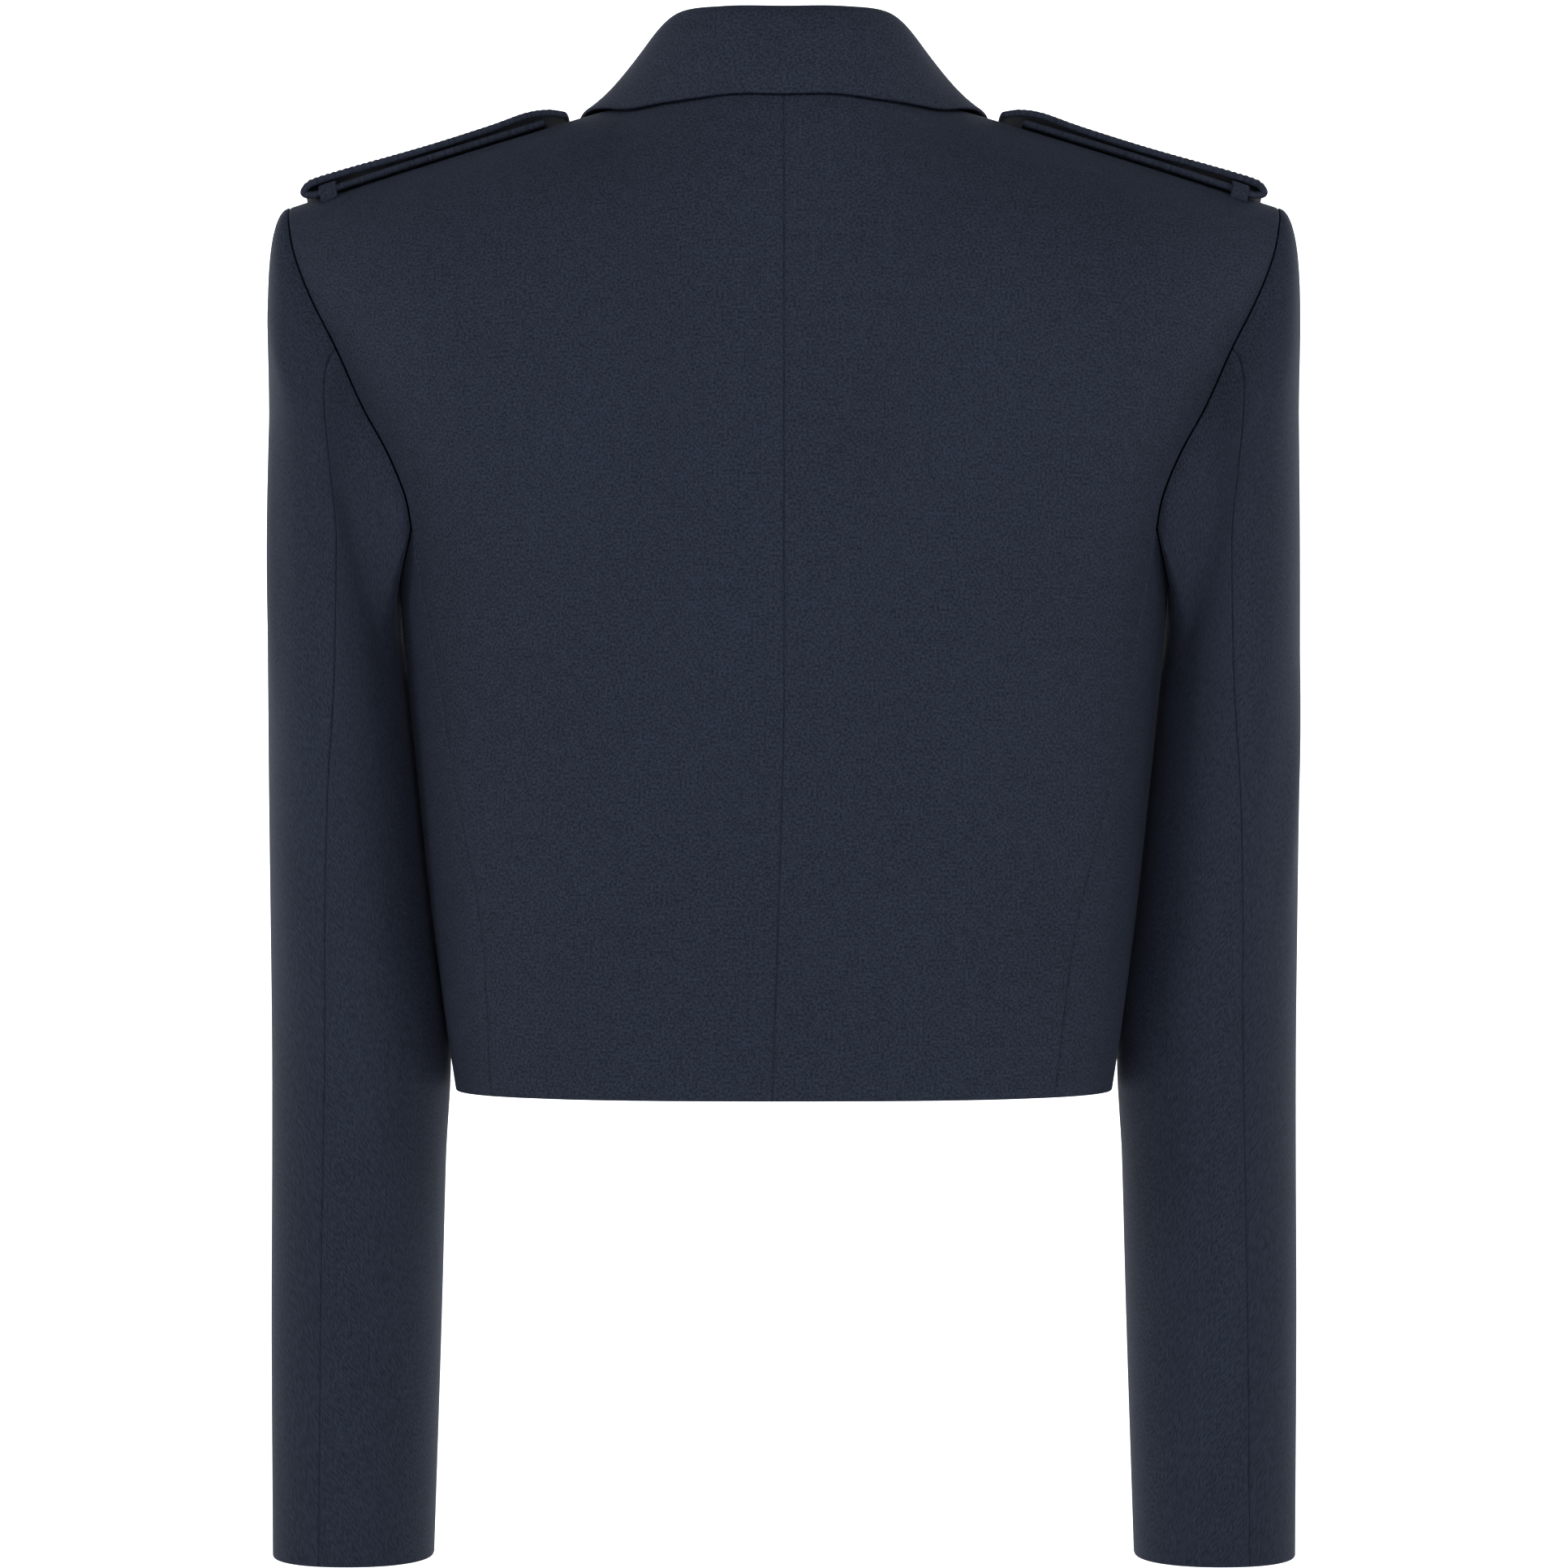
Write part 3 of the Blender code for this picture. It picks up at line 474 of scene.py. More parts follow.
def filled(bottom, top, inner, outer):
    """A grid of (x, over) pairs filled in between its four edges, rows from the bottom up."""
    across = (top[:, 0] - top[0, 0]) / (top[-1, 0] - top[0, 0])
    up = (outer[:, 1] - outer[0, 1]) / (outer[-1, 1] - outer[0, 1])
    u, v = across[None, :, None], up[:, None, None]
    ruled = (1 - v) * bottom[None] + v * top[None] + (1 - u) * inner[:, None] + u * outer[:, None]
    low_corners = (1 - u) * bottom[0] + u * bottom[-1]
    high_corners = (1 - u) * top[0] + u * top[-1]
    return ruled - (1 - v) * low_corners - v * high_corners


SEAM_ROWS = len(SIDE_SEAMS["z"]) - 1
ARMHOLE_ROWS = len(ARMHOLE["back_z"]) - 1


def seam_levels(places):
    """Heights up the side seams, at places counted in the seam table's rows."""
    return smooth_at(SIDE_SEAMS["z"][:, None], places)[:, 0]


def armhole_edge(side, places):
    """The x and z of the armhole, at places counted up from its lowest row."""
    name = "back" if side > 0 else "front"
    pairs = np.stack((ARMHOLE[name + "_x"], ARMHOLE[name + "_z"]), axis=1)
    return smooth_at(pairs, places)


def outer_edge(side, hand, places):
    """The (x, over) pairs of a back's or front's outer edge: side seam, then armhole."""
    low = places[places <= SEAM_ROWS]
    high = places[places > SEAM_ROWS] - SEAM_ROWS
    levels = seam_levels(low)
    pairs = np.stack((side_seam(levels, side, hand), levels), axis=1)
    pairs = np.concatenate((pairs, armhole_edge(side, high)))
    return np.stack((pairs[:, 0], over_at(pairs[:, 0], pairs[:, 1], side)), axis=1)


def collar_pairs(column):
    """The (x, over) pairs of the collar's neckline or outer edge at each turn of the left half."""
    pairs = []
    for turn, (x, z) in enumerate(zip(COLLAR[column + "_x"], COLLAR[column + "_z"])):
        if turn == SHOULDER_TURN:
            pairs.append((x, 1.0))
        else:
            pairs.append((x, float(over_at(x, z, 1 if turn < SHOULDER_TURN else -1))))
    return np.array(pairs)


def underlap(x):
    """How far the left front lies inside the right one, by its distance from the centre."""
    return -UNDERLAP_SINK * eased((UNDERLAP_REACH - x) / (UNDERLAP_REACH - FRONT_OVERLAP))


def ripple(grid, table_rows):
    """Soft swells of the cloth. Each row: centre x, y, z, reach across, reach up, lean and height."""
    height = np.zeros(grid.shape[:2])
    for x, y, z, across, up, lean, amount in table_rows:
        near = np.exp(-(((grid[..., 1] - y) / 0.05) ** 2))
        sideways = (grid[..., 0] - x - lean * (grid[..., 2] - z)) / across
        height += amount * near * np.exp(-sideways**2 - ((grid[..., 2] - z) / up) ** 2)
    return height


def on_torso_grid(pairs, out, hand):
    """The grid of points for (x, over) pairs, its normals, both for the given hand."""
    x, over = pairs[..., 0], pairs[..., 1]
    normals = torso_normal(x, over)
    grid = torso(x, over) + normals * np.asarray(out)[..., None]
    return turned(grid, hand), turned(normals, hand)


BACK_SWELLS = (
    (0.150, 0.090, -0.120, 0.014, 0.070, 0.25, 0.0009),
    (0.118, 0.100, -0.190, 0.020, 0.090, 0.10, -0.0008),
    (0.085, 0.110, -0.330, 0.022, 0.110, -0.06, 0.0008),
    (0.040, 0.115, -0.240, 0.018, 0.120, 0.04, -0.0005),
    (0.110, 0.080, -0.390, 0.012, 0.050, 0.10, -0.0008),
)


def make_back(hand, label):
    width_shares = graded(SHOULDER_TIP_X, 0.0030)
    places = graded(0.42, 0.0032, (SEAM_ROWS / (SEAM_ROWS + ARMHOLE_ROWS),)) * (SEAM_ROWS + ARMHOLE_ROWS)
    outer = outer_edge(1, hand, places)
    levels = torso(outer[:, 0], outer[:, 1])[:, 2]
    neck_z = COLLAR["neck_z"][0]
    centre_levels = HEM_Z + (levels - HEM_Z) * (neck_z - HEM_Z) / (levels[-1] - HEM_Z)
    centre = np.stack((hand * swing(centre_levels), over_at(0.0, centre_levels, 1)), axis=1)
    neck = collar_pairs("neck")[:SHOULDER_TURN + 1]
    neck_part = NECK_X / SHOULDER_TIP_X
    top = np.empty((len(width_shares), 2))
    on_neck = width_shares <= neck_part
    top[on_neck] = smooth_at(neck, width_shares[on_neck] / neck_part * SHOULDER_TURN)
    top[~on_neck, 0] = width_shares[~on_neck] * SHOULDER_TIP_X
    top[~on_neck, 1] = 1.0
    bottom = centre[0] + (outer[0] - centre[0]) * width_shares[:, None]
    pairs = filled(bottom, top, centre, outer)
    grid, normals = on_torso_grid(pairs, 0.0 * pairs[..., 0], hand)
    grid = grid + normals * ripple(turned(grid, hand), BACK_SWELLS)[..., None]
    edges = {"first": "seam", "last": "seam", "top": "seam", "bottom": "free"}
    name = "back_" + label
    piece = cloth_object(name, grid, normals, WALL, edges, uv_shift=0.31 + hand)


def underarm_height(share):
    """The armhole's height under the arm, from the side-back seam (0) to the side-front seam (1)."""
    return ARMHOLE["back_z"][0] - UNDERARM_DROP * (1 - (2 * share - 1) ** 2)


def make_side(hand, label):
    places = graded(0.25, 0.0035) * SEAM_ROWS
    levels = seam_levels(places)
    shares = graded(0.13, 0.0035)
    top_z = SIDE_SEAMS["z"][-1]
    part = ((levels - HEM_Z) / (top_z - HEM_Z)) ** 2
    z = levels[:, None] + part[:, None] * (underarm_height(shares) - top_z)[None]
    first = ring_angle(side_seam(levels, 1, hand), levels, 1)[:, None]
    last = ring_angle(side_seam(levels, -1, hand), levels, -1)[:, None]
    angle = first + (last - first) * shares[None]
    normals = turned(ring_normal(angle, z), hand)
    grid = turned(ring_point(angle, z), hand)
    edges = {"first": "seam", "last": "seam", "top": "seam", "bottom": "free"}
    name = "side_" + label
    piece = cloth_object(name, grid, normals, WALL, edges, uv_shift=1.7 + hand)


FRONT_SWELLS = (
    (0.120, -0.100, -0.330, 0.020, 0.090, 0.12, 0.0010),
    (0.150, -0.070, -0.150, 0.014, 0.060, 0.20, 0.0010),
    (0.070, -0.110, -0.300, 0.020, 0.080, -0.10, -0.0007),
)


def make_front(hand, label):
    total = SEAM_ROWS + ARMHOLE_ROWS
    gorge = len(FRONT_EDGE["z"])
    places = graded(0.42, 0.0032, (SEAM_ROWS / total, gorge / total)) * total
    outer = outer_edge(-1, hand, places)
    neck = collar_pairs("neck")[:SHOULDER_TURN - 1:-1]
    edge_x = np.concatenate((FRONT_EDGE["x"], neck[:, 0]))
    edge_over = np.concatenate((over_at(FRONT_EDGE["x"], FRONT_EDGE["z"], -1), neck[:, 1]))
    inner = smooth_at(np.stack((edge_x, edge_over), axis=1), places, (gorge,))
    shares = graded(SHOULDER_TIP_X - NECK_X, 0.0032)
    top = np.stack((NECK_X + (SHOULDER_TIP_X - NECK_X) * shares, 1.0 + 0 * shares), axis=1)
    bottom = inner[0] + (outer[0] - inner[0]) * shares[:, None]
    pairs = filled(bottom, top, inner, outer)
    sink = underlap(pairs[..., 0]) if hand > 0 else 0.0 * pairs[..., 0]
    grid, normals = on_torso_grid(pairs, sink, hand)
    grid = grid + normals * ripple(turned(grid, hand), FRONT_SWELLS)[..., None]
    edges = {"last": "seam", "top": "seam", "first": "free", "bottom": "free"}
    name = "front_" + label
    piece = cloth_object(name, grid, normals, WALL, edges, uv_shift=3.3 + hand)


def make_lapel(hand, label):
    rows = graded(0.17, 0.0025) * (len(LAPEL["roll_x"]) - 1)
    roll = smooth_at(np.stack((LAPEL["roll_x"], LAPEL["roll_z"]), axis=1), rows)
    edge = smooth_at(np.stack((LAPEL["outer_x"], LAPEL["outer_z"]), axis=1), rows)
    shares = graded(0.045, 0.0020)[None, :, None]
    flat = roll[:, None] + (edge - roll)[:, None] * shares
    pairs = np.stack((flat[..., 0], over_at(flat[..., 0], flat[..., 1], -1)), axis=-1)
    sink = underlap(pairs[..., 0]) if hand > 0 else 0.0 * pairs[..., 0]
    grid, normals = on_torso_grid(pairs, sink + LAPEL_REST + LAPEL_WALL, hand)
    edges = {"first": "roll", "last": "free", "top": "free", "bottom": "free"}
    name = "lapel_" + label
    piece = cloth_object(name, grid, normals, LAPEL_WALL, edges, uv_shift=5.1 + hand)


def armhole_ring(places):
    """The armhole's points and normals for a left sleeve, down the back, under the arm, up the front.

    A place counts the armhole's own points from the shoulder tip, round and back to it."""
    under = ARMHOLE_ROWS + UNDERARM_STEPS
    points = np.empty((len(places), 3))
    normals = np.empty((len(places), 3))
    for side, first, last in ((1, 0, ARMHOLE_ROWS), (-1, under, under + ARMHOLE_ROWS)):
        inside = (places >= first) & (places <= last)
        rows = ARMHOLE_ROWS - places[inside] if side > 0 else places[inside] - under
        pairs = armhole_edge(side, rows)
        over = over_at(pairs[:, 0], pairs[:, 1], side)
        points[inside] = torso(pairs[:, 0], over)
        normals[inside] = torso_normal(pairs[:, 0], over)
    inside = (places > ARMHOLE_ROWS) & (places < under)
    share = (places[inside] - ARMHOLE_ROWS) / UNDERARM_STEPS
    first = ring_angle(ARMHOLE["back_x"][0], ARMHOLE["back_z"][0], 1)
    last = ring_angle(ARMHOLE["front_x"][0], ARMHOLE["front_z"][0], -1)
    angle = first + (last - first) * share
    points[inside] = ring_point(angle, underarm_height(share))
    normals[inside] = ring_normal(angle, underarm_height(share))
    return points, normals


def arm_turns(points):
    """Degrees round the armhole: 0 on the shoulder, 90 behind, 180 under the arm."""
    middle_z = (ARMHOLE["back_z"][-1] + underarm_height(0.5)) / 2
    half = ARMHOLE["back_z"][-1] - middle_z
    turns = np.degrees(np.arctan2(points[:, 1] / ARM_HALF_DEPTH, (points[:, 2] - middle_z) / half)) % 360
    turns[0] = 0.0
    turns[-1] = 360.0
    return turns


def tube_point(turn, z, elbow_turn_here):
    """Points down the hanging sleeve at one turn, matched to the turns of its two seams."""
    elbow = read(SLEEVE, "elbow_turn", z)
    if turn <= elbow_turn_here:
        angle = elbow * turn / elbow_turn_here
    elif turn <= 180:
        angle = elbow + (180 - elbow) * (turn - elbow_turn_here) / (180 - elbow_turn_here)
    else:
        angle = np.interp(turn, (180, 360 - FORESEAM_UNDER, 360), (180, FORESEAM_TURN, 360)) + 0 * z
    angle = np.radians(angle)
    inner, outer = read(SLEEVE, "inner_x", z), read(SLEEVE, "outer_x", z)
    x = (inner + outer) / 2 + (outer - inner) / 2 * powered(np.cos(angle), 2 / SLEEVE_ROUNDNESS)
    y = read(SLEEVE, "middle_y", z)
    y = y + read(SLEEVE, "half_depth", z) * powered(np.sin(angle), 2 / SLEEVE_ROUNDNESS)
    return np.stack((x, y, z), axis=-1)


def sleeve_line(start, normal, turn, elbow_here, head, levels):
    """One line of the sleeve, from the armhole over the sleeve head and down to the cuff."""
    outwards = (1 + math.cos(math.radians(turn))) / 2
    join_z = HEAD_JOIN_Z - UNDERARM_JOIN_DROP * (1 - outwards) ** 0.8
    ends = tube_point(turn, np.array([join_z, join_z - 0.01]), elbow_here)
    sideways = 0.35 * math.sin(math.radians(turn))
    leave = unit(np.array((0.12 + 0.88 * outwards**1.5, sideways, -1 + 0.85 * outwards)))
    begin = start + leave * SEAM_GAP + normal * SEAM_GAP * (1 - outwards)
    reach = np.linalg.norm(ends[0] - begin)
    first = leave * reach * (0.9 - 0.5 * outwards)
    last = unit(ends[1] - ends[0]) * reach * 0.9
    t = head[:, None]
    curve = begin * (2 * t**3 - 3 * t**2 + 1) + first * (t**3 - 2 * t**2 + t)
    curve = curve + ends[0] * (3 * t**2 - 2 * t**3) + last * (t**3 - t**2)
    tube = tube_point(turn, join_z + (CUFF_Z - join_z) * levels, elbow_here)
    return np.concatenate((curve, tube))


def crease_heights(turns, z, rows):
    """Soft ridges and hollows of the sleeve. Each row runs from one turn and height to another."""
    height = np.zeros(z.shape)
    for turn_a, z_a, turn_b, z_b, reach, amount in rows:
        across = math.radians(1) * ARM_RADIUS
        run = np.array(((turn_b - turn_a) * across, z_b - z_a))
        past_a = (turns - turn_a + 180) % 360 - 180
        from_a = np.stack((past_a * across, z - z_a), axis=-1)
        along = np.clip(from_a @ run / (run @ run), 0, 1)
        off = np.linalg.norm(from_a - along[..., None] * run, axis=-1)
        height += amount * np.exp(-((off / reach) ** 2)) * (0.35 + 0.65 * np.sin(along * math.pi))
    return height


# Creases of the hanging sleeves: first turn and height, last turn and height, reach, height
LEFT_CREASES = (
    (30, -0.095, 88, -0.165, 0.010, 0.0022),
    (62, -0.120, 105, -0.205, 0.011, -0.0016),
    (22, -0.150, 30, -0.260, 0.008, 0.0017),
    (45, -0.330, 70, -0.420, 0.014, 0.0009),
    (250, -0.330, 310, -0.390, 0.012, -0.0014),
    (250, -0.380, 320, -0.420, 0.012, 0.0012),
    (60, -0.520, 75, -0.600, 0.014, -0.0006),
)
RIGHT_CREASES = (
    (34, -0.100, 80, -0.150, 0.012, 0.0009),
    (60, -0.130, 100, -0.215, 0.011, -0.0009),
    (24, -0.255, 40, -0.350, 0.009, 0.0020),
    (50, -0.300, 62, -0.400, 0.012, -0.0009),
    (250, -0.340, 310, -0.400, 0.012, -0.0014),
    (250, -0.390, 320, -0.430, 0.012, 0.0012),
    (40, -0.500, 60, -0.590, 0.014, 0.0006),
)


def make_sleeve(hand, label):
    elbow = ARMHOLE_ROWS - ELBOW_SAMPLE
    foreseam = ARMHOLE_ROWS + UNDERARM_STEPS + FORESEAM_SAMPLE
    total = 2 * ARMHOLE_ROWS + UNDERARM_STEPS
    places = graded(0.36, 0.0034, (elbow / total, foreseam / total)) * total
    elbow_column = int(np.argmin(np.abs(places - elbow)))
    foreseam_column = int(np.argmin(np.abs(places - foreseam)))
    points, normals = armhole_ring(places)
    turns = arm_turns(points)
    head = graded(0.10, 0.0035) ** 1.4
    levels = graded(0.50, 0.0040)[1:]
    lines = []
    for point, normal, turn in zip(points, normals, turns):
        lines.append(sleeve_line(point, normal, turn, turns[elbow_column], head, levels))
    grid = np.array(lines).transpose(1, 0, 2)
    grid_out = -grid_normals(grid, wrapped=True)
    creases = LEFT_CREASES if hand > 0 else RIGHT_CREASES
    lift = crease_heights(np.broadcast_to(turns, grid.shape[:2]), grid[..., 2], creases)
    lift = lift * eased(gaps_along(grid, 0) / 0.02)
    grid = grid + grid_out * lift[..., None]
    edges = {"first": "seam", "last": "seam", "bottom": "butted", "top": "free"}
    under = slice(elbow_column, foreseam_column + 1)
    name = "under_sleeve_" + label
    face, face_out = turned(grid[:, under], hand), turned(grid_out[:, under], hand)
    piece = cloth_object(name, face, face_out, WALL, edges, uv_shift=7.3 + hand)
    around = np.r_[foreseam_column:len(places) - 1, 0:elbow_column + 1]
    name = "upper_sleeve_" + label
    face, face_out = turned(grid[:, around], hand), turned(grid_out[:, around], hand)
    piece = cloth_object(name, face, face_out, WALL, edges, uv_shift=9.1 + hand)


def collar_lines(places):
    """The neckline, fold and outer edge of the whole collar, and its bulge, from right to left."""
    last = len(COLLAR["neck_x"]) - 1
    turns = np.abs(np.arange(-last, last + 1))
    signs = np.where(np.arange(-last, last + 1) < 0, -1, 1)
    neck, edge = collar_pairs("neck")[turns], collar_pairs("edge")[turns]
    fold = np.stack([COLLAR["fold_" + axis][turns] for axis in "xyz"], axis=1)
    for line in (neck, edge, fold):
        line[:, 0] *= signs
    neck, edge, fold = (smooth_at(line, places) for line in (neck, edge, fold))
    bulge = smooth_at(COLLAR["bulge"][turns][:, None], places)[:, 0]
    rest = COLLAR_REST + COLLAR_WALL
    edge_out = torso_normal(edge[:, 0], edge[:, 1])
    return torso(neck[:, 0], neck[:, 1]), fold, torso(edge[:, 0], edge[:, 1]) + edge_out * rest, bulge


def collar_places():
    return graded(0.42, 0.0025) * 2 * (len(COLLAR["neck_x"]) - 1)


def collar_away(fold):
    return unit(fold * np.array((1, 1, 0)))


def make_collar_stand():
    neck, fold, _, _ = collar_lines(collar_places())
    top = fold - unit(fold - neck) * FOLD_CLEARANCE - collar_away(fold) * STAND_INSET
    start = neck + unit(top - neck) * SEAM_GAP
    shares = graded(0.030, 0.0025)[:, None, None]
    grid = start[None] + (top - start)[None] * shares
    normals = grid_normals(grid)
    normals = outward(grid, normals, (0, 0, -0.02))
    edges = {"first": "free", "last": "free", "bottom": "seam", "top": "seam"}
    piece = cloth_object("collar_stand", grid, normals, COLLAR_WALL, edges, uv_shift=11.7)


def make_collar_fall():
    neck, fold, edge, bulge = collar_lines(collar_places())
    away = collar_away(fold)
    upright = unit(fold - neck)
    control = fold + (edge - fold) * 0.30 + away * bulge[:, None]
    control[:, 2] += 2 * bulge
    foot = fold - upright * (FOLD_CLEARANCE - SEAM_GAP) - away * (STAND_INSET + COLLAR_WALL)
    leave = unit(control - fold)
    reach = np.linalg.norm(fold - foot, axis=1, keepdims=True) * 1.25
    rows = []
    for t in (0.0, 0.10, 0.22, 0.34, 0.46, 0.58, 0.70, 0.80, 0.90):
        roll = foot * (2 * t**3 - 3 * t**2 + 1) + upright * reach * (t**3 - 2 * t**2 + t)
        rows.append(roll + fold * (3 * t**2 - 2 * t**3) + leave * reach * (t**3 - t**2))
    shares = graded(0.045, 0.0022)
    for share in shares[(shares < 1e-6) | (shares > 0.02)]:
        first = fold + (control - fold) * share
        rows.append(first + (control + (edge - control) * share - first) * share)
    grid = np.array(rows)
    normals = grid_normals(grid)
    normals = normals * math.copysign(1, (normals[-1] * (grid[-1] - grid[0])).sum())
    edges = {"first": "free", "last": "free", "bottom": "seam", "top": "free"}
    piece = cloth_object("collar_fall", grid, normals, COLLAR_WALL, edges, uv_shift=13.3)


def over_from_depth(x, y):
    """The way over the shoulder, near its top, at which the torso lies this far back or forward."""
    behind = y >= 0
    height = shoulder_height(x)
    roundness = np.where(behind, BACK_ROUNDNESS, FRONT_ROUNDNESS)
    depth = np.where(behind, read(BODY, "back_depth", height), read(BODY, "front_depth", height))
    half = read(BODY, "half_width", height)
    across = (1 - (np.abs(x) / half) ** roundness) ** (1 / roundness)
    rise = np.arccos(np.abs(y) / (depth * across)) / (math.pi / 2)
    return np.where(behind, rise, 2 - rise)


def over_shoulder(x, y, height, droop):
    """Points over the shoulder at this distance behind its seam. droop 1 follows the cloth below."""
    x, y, height = np.broadcast_arrays(np.asarray(x, float), np.asarray(y, float), np.asarray(height, float))
    ridge = shoulder_height(x)
    below = torso(x, over_from_depth(x, y))[..., 2] - ridge
    out = np.array((-SHOULDER_SLOPE, 0, 1)) / math.hypot(SHOULDER_SLOPE, 1)
    return np.stack((x, y, ridge + below * droop), axis=-1) + out * height[..., None]


def strap_path():
    """The strap's outer side as (x, height) pairs: under the lower layer, round the fold, over the top."""
    top = STRAP_UPPER["high"][-1]
    middle = (STRAP_REST + top) / 2
    lower = np.linspace(STRAP_LOWER_START_X, STRAP_FOLD_X, 9)
    pairs = [(x, STRAP_REST) for x in lower]
    for degrees in (-60, -30, 0, 30, 60):
        angle = math.radians(degrees)
        reach = STRAP_FOLD_REACH * math.cos(angle)
        pairs.append((STRAP_FOLD_X + reach, middle + (middle - STRAP_REST) * math.sin(angle)))
    pairs += list(zip(STRAP_UPPER["x"], STRAP_UPPER["high"]))[::-1]
    return smooth_at(pairs, graded(0.245, 0.0022) * (len(pairs) - 1))


def strap_point(path, y, hand):
    return turned(over_shoulder(path[:, None, 0], y[None], path[:, None, 1], STRAP_DROOP), hand)


def make_strap(hand, label):
    y = (graded(STRAP_WIDTH, 0.0025) - 0.5) * STRAP_WIDTH
    path = strap_path()
    grid = strap_point(path, y, hand)
    normals = grid_normals(grid)
    normals = normals * math.copysign(1, normals[-1, len(y) // 2, 2])
    name = "epaulette_" + label
    piece = cloth_object(name, grid, normals, STRAP_WALL, FREE_EDGES, uv_shift=15.9 + hand)
    make_strap_stitches(hand, label, path)


def only_select(*objects):
    """Select these objects and no others, with the first one active."""
    bpy.ops.object.select_all(action="DESELECT")
    for item in objects:
        item.select_set(True)
    if objects:
        bpy.context.view_layer.objects.active = objects[0]


def one_stitch():
    """A single thread stitch at the origin, lying along X."""
    only_select()
    bpy.ops.mesh.primitive_uv_sphere_add(segments=6, ring_count=4, radius=0.5)
    stitch = bpy.context.object
    bpy.ops.object.mode_set(mode="EDIT")
    bpy.ops.mesh.select_all(action="SELECT")
    size = (STITCH_LENGTH, STITCH_THICKNESS, STITCH_THICKNESS)
    bpy.ops.transform.resize(value=size, center_override=(0, 0, 0))
    bpy.ops.object.mode_set(mode="OBJECT")
    return stitch


def row_of_stitches(name, points, outs):
    """Thread stitches at even steps along a line of points that lies on a piece."""
    steps = np.concatenate(((0,), np.cumsum(np.linalg.norm(np.diff(points, axis=0), axis=1))))
    pattern = one_stitch()
    row = bmesh.new()
    for middle in np.arange(STITCH_PITCH / 2, steps[-1], STITCH_PITCH):
        place = [np.interp(middle, steps, points[:, axis]) for axis in range(3)]
        ahead = [np.interp(middle + 0.0005, steps, points[:, axis]) for axis in range(3)]
        behind = [np.interp(middle - 0.0005, steps, points[:, axis]) for axis in range(3)]
        along = Vector(np.array(ahead) - np.array(behind)).normalized()
        out = Vector([np.interp(middle, steps, outs[:, axis]) for axis in range(3)]).normalized()
        side = out.cross(along).normalized()
        turn = Matrix((along, side, out)).transposed().to_4x4()
        stitch = pattern.data.copy()
        stitch.transform(Matrix.Translation(place) @ turn)
        row.from_mesh(stitch)
        bpy.data.meshes.remove(stitch)
    bpy.data.objects.remove(pattern)
    mesh = bpy.data.meshes.new(name)
    row.to_mesh(mesh)
    row.free()
    mesh.shade_smooth()
    mesh.materials.append(bpy.data.materials["navy thread"])
    thread = bpy.data.objects.new(name, mesh)
    bpy.context.scene.collection.objects.link(thread)
    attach(thread, "root")


def make_strap_stitches(hand, label, path):
    """One line round the strap, a little inside its edges, on the outer side of both layers."""
    steps = np.concatenate(((0,), np.cumsum(np.linalg.norm(np.diff(path, axis=0), axis=1))))
    inside = np.linspace(STITCH_INSET, steps[-1] - STITCH_INSET, 120)
    run = np.stack([np.interp(inside, steps, path[:, axis]) for axis in range(2)], axis=1)
    half = STRAP_WIDTH / 2 - STITCH_INSET
    lines = []
    for side in (-1, 1):
        line = over_shoulder(run[:, 0], side * half, run[:, 1], STRAP_DROOP)
        lines.append(line[::side])
    end = over_shoulder(run[-1, 0], np.linspace(half, -half, 12)[1:-1], run[-1, 1], STRAP_DROOP)
    line = turned(np.concatenate((lines[1], end, lines[0])), hand)
    near = over_shoulder(run[:, 0], half, run[:, 1], STRAP_DROOP)
    tangent = np.gradient(near, axis=0)
    outs = unit(np.stack((-tangent[:, 2], 0 * tangent[:, 0], tangent[:, 0]), axis=1))
    outs = outs * np.sign(outs[-1, 2])
    outs = turned(np.concatenate((outs, np.repeat(outs[-1:], 10, axis=0), outs[::-1])), hand)
    row_of_stitches("epaulette_stitching_" + label, line + outs * 0.0001, outs)


def make_loop(hand, label):
    """The keeper: a band over the strap's lower layer, with both ends down on the shoulder."""
    low = 2 * SEAM_GAP
    top = STRAP_REST + STRAP_WALL + SEAM_GAP + LOOP_WALL
    half = STRAP_WIDTH / 2 + STRAP_REST + LOOP_WALL
    bend = LOOP_BEND
    side_rows = [(half, low, 1.0), (half, top - bend, STRAP_DROOP)]
    side_rows += [(half - bend * 0.29, top - bend * 0.29, STRAP_DROOP), (half - bend, top, STRAP_DROOP)]
    right = [(-y, height, droop) for y, height, droop in side_rows]
    across = [(y, top, STRAP_DROOP) for y in np.linspace(-half + bend, half - bend, 7)[1:-1]]
    rows = smooth_at(right + across + side_rows[::-1], np.linspace(0, 12, 60))
    x = LOOP_X[0] + (LOOP_X[1] - LOOP_X[0]) * graded(0.0075, 0.0012)
    grid = turned(over_shoulder(x[None], rows[:, None, 0], rows[:, None, 1], rows[:, None, 2]), hand)
    normals = grid_normals(grid)
    normals = normals * math.copysign(1, normals[30, len(x) // 2, 2])
    name = "epaulette_loop_" + label
    piece = cloth_object(name, grid, normals, LOOP_WALL, FREE_EDGES, uv_shift=17.3 + hand)


